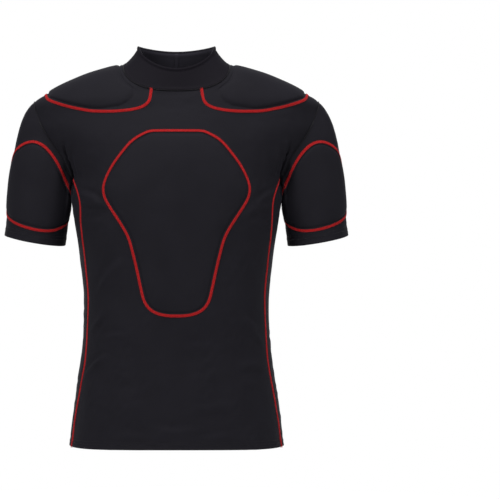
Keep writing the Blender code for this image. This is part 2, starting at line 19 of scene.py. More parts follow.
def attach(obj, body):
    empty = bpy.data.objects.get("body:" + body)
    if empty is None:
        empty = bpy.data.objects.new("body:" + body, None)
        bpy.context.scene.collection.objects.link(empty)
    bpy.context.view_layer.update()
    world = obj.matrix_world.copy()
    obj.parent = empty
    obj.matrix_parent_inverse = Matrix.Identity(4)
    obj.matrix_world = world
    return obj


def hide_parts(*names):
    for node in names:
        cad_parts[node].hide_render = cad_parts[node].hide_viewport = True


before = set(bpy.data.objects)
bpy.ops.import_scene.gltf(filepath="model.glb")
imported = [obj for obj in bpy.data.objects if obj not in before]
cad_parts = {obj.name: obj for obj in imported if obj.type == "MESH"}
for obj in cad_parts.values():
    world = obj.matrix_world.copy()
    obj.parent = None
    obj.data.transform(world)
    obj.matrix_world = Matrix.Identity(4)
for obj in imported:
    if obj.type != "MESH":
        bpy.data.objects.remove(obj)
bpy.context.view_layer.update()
print("solids:", sorted(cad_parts))

# %% [markdown]
# ## The cut, in millimetres
#
# The shirt's form is worked out from a few tables: the body's section at each
# height, where the side seams run, and where the armholes, collar and cuffs lie.
# Points between the rows come from a smooth curve, so the cloth has no corners.
# Another way would be to sculpt the shirt. The tables keep it to real sizes.

# %% Sizes of the body, neck, collar and cuff
METRES = 0.001
# Turns a left-hand point into its right-hand twin
MIRROR = np.array([-1.0, 1.0, 1.0])

# Where the body of the shirt ends
HEM_Z = -605.0
FRONT_HEM_RISE = 4.0
BACK_HEM_RISE = 28.0
ARMPIT_Z = -168.0
ARMPIT_DIP = 15.0

# The neck opening, on the shirt's own surface
NECK_SIDE_X = 86.0
NECK_FRONT_Z = -31.0
NECK_BACK_Z = 9.0
NECK_FRONT_SQUARE = 2.5
NECK_BACK_SQUARE = 2.2

# The collar's top edge
COLLAR_TOP_SIDE_X = 63.0
COLLAR_TOP_FRONT_Y = -67.0
COLLAR_TOP_BACK_Y = 54.0
COLLAR_TOP_FRONT_Z = 3.5
COLLAR_TOP_SIDE_Z = 46.5
COLLAR_TOP_BACK_Z = 42.0
COLLAR_HOLLOW = 1.15
COLLAR_CENTRE_Y = 8.0
COLLAR_SWEEP = 1.3

# The cuff ring
CUFF_X = 234.0
CUFF_Y = 28.0
CUFF_Z = -271.0
CUFF_HALF_WIDTH = 51.0
CUFF_HALF_DEPTH = 53.0
CUFF_TILT_DEG = 10.0
CUFF_FRONT_DROP = 4.5

# The body's outline by height: half width at the sides, depth in front of and
# behind the side line, how far back the side line sits, and how square the
# section is (2 is an ellipse). Above the armpit the width reaches into the sleeve.
# Columns: z, half_width, front, back, side_line, square
BODY = (
    (-640.0, 180.0, 126.0, 124.0, 0.0, 2.3),
    (-606.0, 175.0, 124.0, 122.0, 0.0, 2.3),
    (-560.0, 170.5, 121.0, 120.0, 0.0, 2.3),
    (-500.0, 161.5, 119.0, 117.0, 0.0, 2.3),
    (-440.0, 153.8, 118.0, 116.0, 0.0, 2.3),
    (-370.0, 151.8, 119.0, 117.0, 1.0, 2.3),
    (-300.0, 158.0, 122.0, 119.0, 3.0, 2.3),
    (-235.0, 168.0, 126.0, 119.0, 6.0, 2.3),
    (-190.0, 172.3, 129.0, 117.5, 10.0, 2.3),
    (-174.0, 172.8, 130.0, 117.0, 12.0, 2.25),
    (-165.0, 175.5, 130.5, 116.5, 13.5, 2.2),
    (-156.0, 182.0, 130.5, 116.0, 14.5, 2.1),
    (-131.0, 206.0, 129.0, 115.0, 17.0, 1.9),
    (-108.0, 227.0, 126.0, 112.0, 20.0, 1.85),
    (-82.0, 240.0, 118.0, 105.0, 22.0, 1.85),
    (-60.0, 240.0, 109.0, 96.0, 22.0, 1.9),
    (-43.0, 233.5, 102.0, 87.0, 21.0, 2.0),
    (-32.0, 216.0, 97.0, 82.0, 20.0, 2.0),
    (-24.0, 199.0, 94.0, 78.0, 19.0, 2.0),
    (-12.0, 171.0, 89.0, 72.0, 18.0, 2.0),
    (-2.0, 146.0, 85.0, 66.0, 18.0, 2.0),
    (7.0, 118.0, 80.0, 60.0, 17.0, 2.0),
    (11.5, 104.0, 78.0, 56.0, 16.0, 2.0),
    (17.0, 86.0, 76.0, 54.0, 16.0, 2.0),
    (21.0, 66.0, 73.0, 51.0, 15.0, 2.0),
    (25.0, 36.0, 70.0, 48.0, 15.0, 2.0),
    (28.0, 0.5, 68.0, 46.0, 15.0, 2.0),
)

# The side seams' place round the body, in degrees from the very side
# Columns: z, front_seam, back_seam
SIDE_SEAMS = (
    (-606.0, 15.0, 15.0),
    (-580.0, 16.6, 15.0),
    (-545.0, 18.0, 15.2),
    (-505.0, 19.9, 15.5),
    (-468.0, 21.6, 16.0),
    (-430.0, 20.8, 16.0),
    (-402.0, 21.0, 16.0),
    (-370.0, 22.3, 16.0),
    (-332.0, 22.2, 15.5),
    (-305.0, 22.2, 15.0),
    (-270.0, 23.3, 15.0),
    (-233.0, 25.2, 14.5),
    (-214.0, 26.6, 14.0),
    (-195.0, 24.4, 12.0),
    (-168.0, 12.5, 9.5),
)

# %% Where the armholes and sleeves run
# The armhole's path seen from the front, from the side seam up to the shoulder
# Columns: x, z
ARMHOLE = (
    (177.0, -155.0),
    (183.5, -140.0),
    (193.0, -125.0),
    (206.0, -107.0),
    (218.5, -86.0),
    (228.5, -64.0),
    (233.5, -43.0),
)

# Which way the sleeve sets off from the armhole and arrives at the cuff, by
# quarter of the way round: underarm, front, shoulder, back
# Columns: off_x, off_y, off_z, in_x, in_y, in_z
SLEEVE_SET = (
    (10.0, 0.0, -2.0, 20.0, 0.0, -104.0),
    (70.0, 10.0, -95.0, 22.0, 0.0, -165.0),
    (126.0, 0.0, -92.0, 31.0, 0.0, -225.0),
    (70.0, -10.0, -95.0, 22.0, 0.0, -165.0),
)

# %% Reading a table smoothly, and the body's surface
RIDGE_SAMPLES = 6801


def smooth_rows(table, at):
    """Read a table at any value of its first column, with no corners."""
    rows = np.array(table, float)
    keys = rows[:, 0]
    values = rows[:, 1:]
    step = np.diff(keys)[:, None]
    slope = np.diff(values, axis=0) / step
    lean = np.empty_like(values)
    lean[0] = slope[0]
    lean[-1] = slope[-1]
    lean[1:-1] = (slope[:-1] * step[1:] + slope[1:] * step[:-1]) / (step[1:] + step[:-1])
    turning = slope[:-1] * slope[1:] <= 0.0
    lean[1:-1][turning] = 0.0
    at = np.clip(np.asarray(at, float), keys[0], keys[-1])
    low = np.clip(np.searchsorted(keys, at, side="right") - 1, 0, len(keys) - 2)
    width = (keys[low + 1] - keys[low])[..., None]
    u = (at - keys[low])[..., None] / width
    start = (1 + 2 * u) * (1 - u) ** 2 * values[low]
    end = u * u * (3 - 2 * u) * values[low + 1]
    bend = u * (1 - u) ** 2 * lean[low] + u * u * (u - 1) * lean[low + 1]
    return start + end + width * bend


# The shoulder ridge is where the body's half width closes, read from above
RIDGE_Z = np.linspace(ARMHOLE[-1][1], BODY[-1][0], RIDGE_SAMPLES)
RIDGE_X = smooth_rows(BODY, RIDGE_Z)[:, 0]


def ridge_height(x):
    """Height of the shoulder ridge at a distance from the middle line."""
    return np.interp(np.abs(x), RIDGE_X[::-1], RIDGE_Z[::-1])


def body_point(x, z, side):
    """A point of the body's surface; side is -1 in front and +1 behind."""
    x = np.asarray(x, float)
    z = np.asarray(z, float)
    half, front, back, line, square = np.moveaxis(smooth_rows(BODY, z), -1, 0)
    part = np.clip(np.abs(x) / np.maximum(half, 1.0), 0.0, 1.0)
    bulge = np.power(np.maximum(1.0 - np.power(part, square), 0.0), 1.0 / square)
    depth = np.where(side < 0, front, back)
    return np.stack([x, line + side * depth * bulge, z], axis=-1)


def ridge_point(x):
    """A point on the shoulder ridge, where front and back meet."""
    z = ridge_height(x)
    line = smooth_rows(BODY, z)[..., 3]
    return np.stack([np.asarray(x, float), line, z], axis=-1)


def side_point(angle, z):
    """A point round the body, by its angle in degrees from the very side.

    Positive angles are in front, negative ones behind.
    """
    angle = np.asarray(angle, float)
    z = np.asarray(z, float)
    half, front, back, line, square = np.moveaxis(smooth_rows(BODY, z), -1, 0)
    turn = np.radians(np.abs(angle))
    across = half * np.power(np.maximum(np.cos(turn), 0.0), 2.0 / square)
    depth = np.where(angle > 0, front, back) * np.power(np.sin(turn), 2.0 / square)
    return np.stack([across, line - np.sign(angle) * depth, z], axis=-1)

# %% [markdown]
# ## Panels
#
# The front and back run from the hem up to the shoulder ridge. Below the armpit
# they are laid out by height and by the angle round the body. Above it they are
# laid out by distance from the middle and by how far they lie below the ridge.
# That second way keeps the rows even where the cloth turns over the shoulder.

# %% How finely the cloth is divided
FINE = 400
LOWER_ROWS = 104
UPPER_ROWS = 70
HALF_COLUMNS = 70
NECK_COLUMNS = 38
SIDE_COLUMNS = 18
SLEEVE_ROWS = 56
COLLAR_SHARES = (
    0.0, 0.015, 0.03, 0.05, 0.08, 0.12, 0.18, 0.25, 0.32, 0.4, 0.48, 0.56,
    0.64, 0.71, 0.77, 0.82, 0.86, 0.89, 0.915, 0.935, 0.955, 0.97, 0.985, 1.0,
)


def seam_angle(z, side):
    """The side seam's angle from the very side, in front or behind."""
    return smooth_rows(SIDE_SEAMS, z)[..., 0 if side < 0 else 1]


def drop_of(x, z):
    """How far below the ridge a height lies, as its square root."""
    return np.sqrt(np.maximum(ridge_height(x) - z, 0.0))


def fill_in(bottom, top, start, end, across, up):
    """A grid between four edge lines; rows run from bottom to top."""
    u = np.asarray(across)[None, :, None]
    v = np.asarray(up)[:, None, None]
    rails = (1 - v) * bottom[None] + v * top[None]
    sides = (1 - u) * start[:, None] + u * end[:, None]
    low = (1 - u) * bottom[0] + u * bottom[-1]
    high = (1 - u) * top[0] + u * top[-1]
    return rails + sides - (1 - v) * low - v * high


def travelled(points):
    """Length along a line of points from its start, or up each column of a grid."""
    steps = np.linalg.norm(np.diff(points, axis=0), axis=-1)
    return np.concatenate([np.zeros_like(steps[:1]), np.cumsum(steps, axis=0)])


def spread_line(points, shares):
    """Points on a smooth line through the given ones, at parts of its length."""
    points = np.array(points, float)
    length = travelled(points)
    return smooth_rows(np.column_stack([length / length[-1], points]), np.array(shares))


def read_along(path, points, shares):
    """A path's rows at parts of the length that its points cover."""
    length = travelled(points)
    return np.column_stack([np.interp(shares, length / length[-1], k) for k in path.T])


def neckline(side, count):
    """The neck opening's edge on one half, from the middle to the side."""
    middle = NECK_FRONT_Z if side < 0 else NECK_BACK_Z
    square = NECK_FRONT_SQUARE if side < 0 else NECK_BACK_SQUARE
    top = ridge_height(NECK_SIDE_X)
    turn = np.linspace(0.0, 0.5 * math.pi, FINE)
    x = NECK_SIDE_X * np.power(np.sin(turn), 2.0 / square)
    z = top + (middle - top) * np.power(np.maximum(np.cos(turn), 0.0), 2.0 / square)
    path = np.column_stack([x, z])
    return read_along(path, body_point(x, z, side), np.linspace(0.0, 1.0, count))

# %% The front and back panels as grids of points
def armhole_edge(seam_x, side, shares):
    """The armhole's edge as distance from the middle and drop, spread evenly."""
    path = spread_line(((seam_x, ARMPIT_Z),) + ARMHOLE, np.linspace(0.0, 1.0, FINE))
    flat = np.column_stack([path[:, 0], drop_of(path[:, 0], path[:, 1])])
    return read_along(flat, body_point(path[:, 0], path[:, 1], side), shares)


def half_panel(side):
    """One half of the front or back, from the middle line to seam and armhole."""
    share = np.linspace(0.0, 1.0, HALF_COLUMNS + 1)
    rise = FRONT_HEM_RISE if side < 0 else BACK_HEM_RISE
    hem = HEM_Z + rise * np.cos(0.5 * math.pi * share) ** 2
    lower = []
    for part in np.linspace(0.0, 1.0, LOWER_ROWS + 1):
        z = hem + (ARMPIT_Z - hem) * part
        turn = 90.0 - (90.0 - seam_angle(z, side)) * share
        lower.append(side_point(-side * turn, z))
    lower = np.array(lower)
    lower[:, 0, 0] = 0.0
    bottom = np.column_stack([lower[-1, :, 0], drop_of(lower[-1, :, 0], ARMPIT_Z)])
    neck = neckline(side, NECK_COLUMNS + 1)
    neck = np.column_stack([neck[:, 0], drop_of(neck[:, 0], neck[:, 1])])
    ridge = np.linspace(NECK_SIDE_X, ARMHOLE[-1][0], HALF_COLUMNS - NECK_COLUMNS + 1)
    top = np.concatenate([neck[:-1], np.column_stack([ridge, np.zeros_like(ridge)])])
    rows = np.linspace(0.0, 1.0, UPPER_ROWS + 1)
    end = armhole_edge(bottom[-1, 0], side, rows)
    end[-1] = top[-1]
    down = bottom[0, 1] + (top[0, 1] - bottom[0, 1]) * rows
    start = np.column_stack([np.zeros_like(down), down])
    grid = fill_in(bottom, top, start, end, share, rows)
    x = grid[..., 0]
    upper = body_point(x, ridge_height(x) - grid[..., 1] ** 2, side)
    upper[-1, NECK_COLUMNS:] = ridge_point(x[-1, NECK_COLUMNS:])
    return np.concatenate([lower, upper[1:]])


def both_halves(half):
    """A whole panel from its half, running from the wearer's right to the left."""
    return np.concatenate([(half * MIRROR)[:, :0:-1], half], axis=1)


half_front, half_back = half_panel(-1), half_panel(1)
print("front panel grid:", both_halves(half_front).shape)

# %% [markdown]
# ## Deep creases at the armpits
#
# Where the sleeve meets the side, the cloth draws into a deep dark crease that
# crosses the seams. It is a push on places, not on one piece, so every panel and
# seam line that passes there goes in together and no seam opens.

# %% The armpit creases
# Columns: side, line, reach, depth
ARMPIT_CREASES = (
    (-1, ((184.0, -112.0), (180.5, -127.0), (177.0, -139.0), (173.3, -150.0),
          (170.0, -164.0), (169.3, -180.0)), 3.4, 15.0),
    (-1, ((171.5, -160.0), (169.5, -176.0), (169.0, -192.0)), 6.0, 6.0),
    (-1, ((178.0, -118.0), (169.5, -140.0), (163.0, -160.0)), 4.2, 2.4),
    (1, ((186.0, -110.0), (177.0, -138.0), (169.5, -162.0), (167.0, -180.0)), 4.4, 9.0),
    (1, ((172.0, -112.0), (163.0, -138.0), (160.0, -160.0)), 4.2, 3.5),
)
CREASE_SPOTS = 60
# How much of a crease it takes to reach its full depth
CREASE_START = 0.6
# How far the push goes towards the middle and into the body
CREASE_WAY = (-0.3, 0.95)
FAR_AWAY = 1e9
NEAR_ROOM = 40.0
PAIRS_AT_ONCE = 2000000


def nearest(points, line):
    """Distance of each point from a line's points, and the nearest one's number."""
    gap = np.full(len(points), FAR_AWAY)
    which = np.zeros(len(points), int)
    middle = line.mean(axis=0)
    reach = np.linalg.norm(line - middle, axis=1).max() + NEAR_ROOM
    near = np.flatnonzero(np.linalg.norm(points - middle, axis=1) < reach)
    parts = max(1, len(near) * len(line) // PAIRS_AT_ONCE)
    for part in np.array_split(near, parts):
        away = np.linalg.norm(points[part, None] - line[None], axis=-1)
        which[part] = away.argmin(axis=1)
        gap[part] = away.min(axis=1)
    return gap, which


def creased(grid):
    """Points of the left half, pressed into the creases at the armpit."""
    points = grid.reshape(-1, 3)
    moved = points.copy()
    part = np.linspace(0.0, 1.0, CREASE_SPOTS)
    for side, corners, reach, depth in ARMPIT_CREASES:
        steps = np.arange(len(corners))
        at = part * steps[-1]
        path = np.column_stack([np.interp(at, steps, k) for k in np.transpose(corners)])
        gap, which = nearest(points, body_point(path[:, 0], path[:, 1], side))
        deepen = np.sin(0.5 * math.pi * np.clip(part[which] / CREASE_START, 0, 1))
        amount = depth * np.exp(-(gap / reach) ** 2) * deepen
        moved += amount[:, None] * np.array([CREASE_WAY[0], -side * CREASE_WAY[1], 0.0])
    return moved.reshape(grid.shape)


# %% The side panels, the armhole and the sleeves
def side_panel():
    """The long panel under the left arm, from the front seam to the back one."""
    share = np.linspace(0.0, 1.0, SIDE_COLUMNS + 1)
    dip = ARMPIT_DIP * np.sin(math.pi * share)
    rows = []
    for part in np.linspace(0.0, 1.0, LOWER_ROWS + 1):
        level = HEM_Z + (ARMPIT_Z - HEM_Z) * part
        front, back = seam_angle(level, -1), seam_angle(level, 1)
        rows.append(side_point(front + (-back - front) * share, level - dip * part ** 8))
    return np.array(rows)


def armhole_ring(front, side, back):
    """The left armhole, from the underarm forward, over the shoulder and back."""
    middle = SIDE_COLUMNS // 2
    above = UPPER_ROWS + 1
    first, ahead = side[-1, :middle + 1][::-1], front[-above:, -1]
    over, last = back[-above - 1:-1, -1][::-1], side[-1, middle + 1:-1][::-1]
    ring = np.concatenate([first, ahead[1:], over[1:], last])
    length = travelled(np.concatenate([ring, ring[:1]]))
    top = len(first) + len(ahead) - 2
    to_top = length / length[top]
    beyond = (length - length[top]) / (length[-1] - length[top])
    return ring, np.where(length <= length[top], 0.5 * to_top, 0.5 + 0.5 * beyond)[:-1]


def ring_table(share, ring):
    """The armhole as a table that can be read past its own start and end."""
    before = np.column_stack([share[-4:] - 1.0, ring[-4:]])
    after = np.column_stack([share[:4] + 1.0, ring[:4]])
    return np.concatenate([before, np.column_stack([share, ring]), after])


def sleeve_point(hole, around, along):
    """A point of the left sleeve, part of the way round and down to the cuff."""
    around, along = np.broadcast_arrays(np.asarray(around, float), np.asarray(along, float))
    start = smooth_rows(hole, around)
    turn, tilt = 2.0 * math.pi * around, math.radians(CUFF_TILT_DEG)
    end = np.stack([
        CUFF_X - CUFF_HALF_WIDTH * np.cos(turn) * math.cos(tilt),
        CUFF_Y - CUFF_HALF_DEPTH * np.sin(turn),
        CUFF_Z - CUFF_HALF_WIDTH * np.cos(turn) * math.sin(tilt) - CUFF_FRONT_DROP * np.sin(turn),
    ], axis=-1)
    spot = (around % 1.0) * 4.0
    low = np.floor(spot).astype(int) % 4
    blend = (0.5 - 0.5 * np.cos(math.pi * (spot - np.floor(spot))))[..., None]
    way = np.array(SLEEVE_SET)[low] * (1 - blend) + np.array(SLEEVE_SET)[(low + 1) % 4] * blend
    s = along[..., None]
    body = (1 + 2 * s) * (1 - s) ** 2 * start + s * s * (3 - 2 * s) * end
    return body + s * (1 - s) ** 2 * way[..., :3] + s * s * (s - 1) * way[..., 3:]


# The cloth under the arm bulges most at one height, fading faster below it
UNDERARM_FULL = 1.7
UNDERARM_Z = -202.0
UNDERARM_ABOVE = 17.0
UNDERARM_BELOW = 13.0
UNDERARM_START = 0.12
UNDERARM_SQUARE = 0.7
HOLE_CLEARANCE = 8.0


def underarm(z):
    """How full the cloth is under the arm at a height, from 0 to 1."""
    fade = np.where(z > UNDERARM_Z, UNDERARM_ABOVE, UNDERARM_BELOW)
    return np.exp(-((z - UNDERARM_Z) / fade) ** 2)


def arm_point(around, along):
    """A point of the left sleeve, fuller at the underarm, with its creases."""
    points = sleeve_point(hole, around, along)
    inner = np.clip(np.cos(2.0 * math.pi * np.asarray(around)), 0.0, 1.0)
    inner = inner * np.clip(np.asarray(along) / UNDERARM_START, 0.0, 1.0)
    points[..., 0] -= UNDERARM_FULL * inner * underarm(points[..., 2])
    return creased(points)


half_side = side_panel()
ring, ring_share = armhole_ring(half_front, half_side, half_back)
hole = ring_table(ring_share, ring)
across = np.sin(math.pi * np.linspace(0.0, 1.0, SIDE_COLUMNS + 1)) ** UNDERARM_SQUARE
near_hole = np.clip((ARMPIT_Z - half_side[..., 2]) / HOLE_CLEARANCE, 0.0, 1.0)
half_side[..., 0] += UNDERARM_FULL * across * underarm(half_side[..., 2]) * near_hole
down = np.linspace(0.0, 1.0, SLEEVE_ROWS + 1)
half_sleeve = arm_point(ring_share[None, :], down[:, None])[::-1]
half_front, half_back, half_side, ring = [
    creased(grid) for grid in (half_front, half_back, half_side, ring)]
print("armhole ring:", len(ring), "points")

# %% The stand collar
# How late the top edge dips at the back, how much higher than the table it is,
# how hollow its sides are, and over what angle its side tops are rounded
BACK_SWEEP = 3.0
COLLAR_RISE = 1.2
SIDE_HOLLOW = 0.36
PEAK_ROUND = 0.16


def rounded_peak(turn, height):
    """Heights by angle round the collar, with the sharp tops at its sides rounded."""
    gap = np.abs(turn[:, None] - turn[None, :])
    gap = np.minimum(gap, 2.0 * math.pi - gap)
    weight = np.exp(-0.5 * (gap / PEAK_ROUND) ** 2) * np.gradient(turn)[None, :]
    return weight @ height / weight.sum(axis=1)


def collar_grid(neck):
    """The stand collar, from the neckline ring up to its top edge."""
    turn = np.arctan2(neck[:, 0], COLLAR_CENTRE_Y - neck[:, 1])
    ahead = np.cos(turn)
    beside = np.sin(turn) ** 2
    x = COLLAR_TOP_SIDE_X * np.sin(turn)
    centre = 0.5 * (COLLAR_TOP_FRONT_Y + COLLAR_TOP_BACK_Y)
    half = 0.5 * (COLLAR_TOP_BACK_Y - COLLAR_TOP_FRONT_Y)
    front = COLLAR_TOP_FRONT_Z - COLLAR_TOP_SIDE_Z
    back = COLLAR_TOP_BACK_Z - COLLAR_TOP_SIDE_Z
    dip = np.where(ahead > 0, front * np.abs(ahead) ** COLLAR_SWEEP,
                   back * np.abs(ahead) ** BACK_SWEEP)
    order = np.argsort(turn)
    dip = np.interp(turn, turn[order], rounded_peak(turn[order], dip[order]))
    z = COLLAR_TOP_SIDE_Z + COLLAR_RISE + dip
    top = np.column_stack([x, centre - half * ahead, z])
    rows = []
    for part in COLLAR_SHARES:
        hollow = COLLAR_HOLLOW + SIDE_HOLLOW * beside[:, None]
        lean = (top - neck) * np.array([1.0, 1.0, 0.0]) * (1.0 - (1.0 - part) ** hollow)
        rows.append(neck + lean + (top - neck) * [0.0, 0.0, part])
    return np.array(rows)


left_neck = np.concatenate([half_front[-1, :NECK_COLUMNS + 1], half_back[-1, :NECK_COLUMNS][::-1]])
right_neck = (left_neck * MIRROR)[1:-1][::-1]
neck_ring = np.concatenate([left_neck, right_neck])
collar = collar_grid(neck_ring)
print("collar grid:", collar.shape)

# %% [markdown]
# ## Where the pads lie
#
# The pads' outlines follow the red seams: one on the chest, one over each
# shoulder, one on each upper arm. Each outline is filled with a grid of points
# on the cloth, because a pad is made from its panel's points, moved out.

# %% Outlines of the pads
# The chest pad's half width by height
# Columns: z, half_width
CHEST_PAD = (
    (-97.0, 44.0),
    (-101.0, 51.0),
    (-109.0, 66.0),
    (-118.0, 76.0),
    (-131.0, 86.5),
    (-146.0, 98.0),
    (-162.0, 107.5),
    (-175.0, 113.3),
    (-189.0, 116.8),
    (-203.0, 114.0),
    (-217.0, 106.2),
    (-232.0, 96.3),
    (-247.0, 86.5),
    (-266.0, 76.0),
    (-288.0, 69.6),
    (-319.0, 62.1),
    (-351.0, 55.2),
    (-367.0, 51.2),
    (-379.0, 43.3),
    (-386.0, 32.0),
    (-390.0, 14.0),
)
CHEST_SPREAD = (0.0, 0.24, 0.46, 0.66, 0.82, 0.93, 1.0)
# The shoulder pad's edge on the front by height, and on the back by its drop,
# which is how far below the shoulder ridge the edge lies
# Columns: x, z
SHOULDER_FRONT = (
    (40.7, -33.5),
    (42.0, -43.5),
    (48.2, -54.0),
    (59.0, -59.7),
    (74.0, -62.8),
    (90.0, -64.2),
    (116.0, -64.6),
    (144.0, -62.4),
    (159.0, -59.0),
    (179.0, -53.8),
    (197.5, -47.6),
    (210.0, -42.8),
)
# Columns: x, drop
SHOULDER_BACK = (
    (101.0, 13.0),
    (112.0, 15.0),
    (130.0, 16.0),
    (150.0, 17.0),
    (170.0, 18.5),
    (190.0, 19.0),
    (205.0, 16.5),
    (217.0, 9.0),
)
NECK_CLEARANCE = 2.4
NECK_SPOTS = 10
NECK_FIRST_SPOT = 4
NECK_DROP_ROOM = 0.25
NECK_CORNER = (93.0, -1.0)
# The pad's outer end, by distance from the middle and the drop's square root
SHOULDER_TIP = ((213.5, 1.9), (216.0, 0.0), (218.0, -1.7))
SHOULDER_SPREAD = (0.0, 0.045, 0.12, 0.22, 0.33, 0.44, 0.55, 0.66, 0.77, 0.88, 0.955, 1.0)
SHOULDER_ACROSS = (
    0.0, 0.06, 0.13, 0.21, 0.3, 0.39, 0.47, 0.55, 0.63, 0.71, 0.79, 0.87, 0.94, 1.0,
)
# The upper arm pad's outline on the sleeve: part of the way round from the
# underarm by the front (0.5 is the outer side), and part of the way to the cuff
# Columns: around, along
BICEP_LOWER = (
    (-0.045, 0.53),
    (-0.02, 0.60),
    (0.02, 0.675),
    (0.06, 0.725),
    (0.10, 0.782),
    (0.145, 0.833),
    (0.20, 0.864),
    (0.27, 0.872),
    (0.36, 0.872),
    (0.42, 0.864),
    (0.47, 0.852),
    (0.50, 0.825),
    (0.52, 0.77),
)
BICEP_UPPER = (
    (-0.045, 0.44),
    (-0.02, 0.385),
    (0.02, 0.34),
    (0.06, 0.295),
    (0.09, 0.247),
    (0.12, 0.192),
    (0.155, 0.148),
    (0.20, 0.108),
    (0.24, 0.103),
    (0.285, 0.13),
    (0.33, 0.194),
    (0.375, 0.284),
    (0.42, 0.39),
    (0.475, 0.515),
    (0.52, 0.63),
)
BICEP_ENDS = (-0.045, 0.52)
BICEP_SPREAD = (0.0, 0.08, 0.2, 0.36, 0.52, 0.68, 0.82, 0.93, 1.0)

# %% The pads' ground on the cloth
CHEST_ROWS = 84
BICEP_PAD_COLUMNS = 52
FINER = 4
BICEP_FINER = 5


def finer(shares, times):
    """More values between the given ones."""
    steps = np.arange(len(shares))
    return np.interp(np.linspace(0, len(shares) - 1, (len(shares) - 1) * times + 1), steps, shares)


def chest_pad_grid():
    """The chest pad's ground on the front, row by row from its foot up."""
    share = finer(CHEST_SPREAD, FINER)
    share = np.concatenate([-share[:0:-1], share])
    edge = spread_line(CHEST_PAD[::-1], np.linspace(0.0, 1.0, CHEST_ROWS))
    return np.array([body_point(half * share, np.full_like(share, z), -1) for z, half in edge])


def over_shoulder(spots):
    """Points on the shoulder from distance from the middle and signed drop."""
    x = spots[..., 0]
    z = ridge_height(x) - spots[..., 1] ** 2
    return body_point(x, z, np.where(spots[..., 1] > 0, -1.0, 1.0))


def shoulder_line(points, shares):
    """A line over the shoulder, with its points spread along the cloth."""
    path = spread_line(points, np.linspace(0.0, 1.0, FINE))
    return read_along(path, over_shoulder(path), shares)


def shoulder_pad_grid():
    """The left shoulder pad's ground, from its front edge over the ridge."""
    spread, across = finer(SHOULDER_SPREAD, FINER), finer(SHOULDER_ACROSS, FINER)
    front = [(x, float(drop_of(x, z))) for x, z in SHOULDER_FRONT]
    back = [(x, -drop ** 0.5) for x, drop in SHOULDER_BACK]
    bottom, top = shoulder_line(front, spread), shoulder_line(back, spread)
    neck = neckline(-1, NECK_SPOTS)[NECK_FIRST_SPOT:]
    clear = NECK_CLEARANCE * (neck[:, 0] / NECK_SIDE_X) ** 2
    neck = np.column_stack([neck[:, 0] + clear, drop_of(neck[:, 0], neck[:, 1]) + NECK_DROP_ROOM])
    start = shoulder_line([front[0]] + neck.tolist() + [NECK_CORNER, back[0]], across)
    end = shoulder_line((front[-1],) + SHOULDER_TIP + (back[-1],), across)
    return over_shoulder(fill_in(bottom, top, start, end, spread, across))


def bicep_pad_grid():
    """The left upper arm pad's ground on the sleeve."""
    around = np.linspace(*BICEP_ENDS, BICEP_PAD_COLUMNS)
    lower, upper = [smooth_rows(edge, around)[:, 0] for edge in (BICEP_LOWER, BICEP_UPPER)]
    v = finer(BICEP_SPREAD, BICEP_FINER)[:, None]
    return arm_point(around[None, :], lower * (1 - v) + upper * v)


ground = {"chest": chest_pad_grid(), "shoulder": shoulder_pad_grid(), "bicep": bicep_pad_grid()}
for name, grid in ground.items():
    print(name, "pad grid:", grid.shape)

# %% [markdown]
# ## Seam lines
#
# Each seam is a line of points on the cloth. The cloth is quiet near a seam,
# because the stitches hold it flat, so the seam lines come before the folds.

# %% Every seam as a line of points
SEAM_STEP = 2.0
FEWEST_STEPS = 8
RED_SOFTEN = 3
# The front side seam is red up to this height, and black under the arm
RED_TOP_Z = -170.0
# The shoulder seam turns round the back of its pad for a few points, and at its
# front end it runs on nearly to the collar
BACK_TURN = 9
NECK_REACH = 0.85
# Added to a distance, it leaves a point out of a search for the nearest one
LEFT_OUT = 999.0


def left_and_right(lines):
    """Name a left-hand line and its mirror image."""
    both = {}
    for name, line in lines.items():
        both[name + "_left"] = line
        both[name + "_right"] = (line * MIRROR)[::-1]
    return both


def outline(grid):
    """The closed edge line of a grid."""
    return np.concatenate([grid[0], grid[1:, -1], grid[-1, ::-1][1:], grid[::-1, 0][1:-1]])


def blurred(values, spread):
    """Rows of values smoothed along a line, which uses up three spreads at each end."""
    weight = np.exp(-0.5 * (np.arange(-3 * spread, 3 * spread + 1) / spread) ** 2)
    return np.column_stack([np.convolve(k, weight / weight.sum(), "valid") for k in values.T])


def even_line(line, step, closed, soften):
    """A line with evenly spaced points and softly rounded corners."""
    path = np.concatenate([line, line[:1]]) if closed else line
    for fine in (True, False):
        count = max(FEWEST_STEPS, int(round(travelled(path)[-1] / step)))
        path = read_along(path, path, np.linspace(0.0, 1.0, count + 1))
        if fine and soften:
            more = 3 * soften
            if closed:
                before, after = path[-more - 1:-1], path[1:more + 1]
            else:
                before = 2 * path[:1] - path[more:0:-1]
                after = 2 * path[-1:] - path[-2:-more - 2:-1]
            path = blurred(np.concatenate([before, path, after]), soften)
    return path[:-1] if closed else path


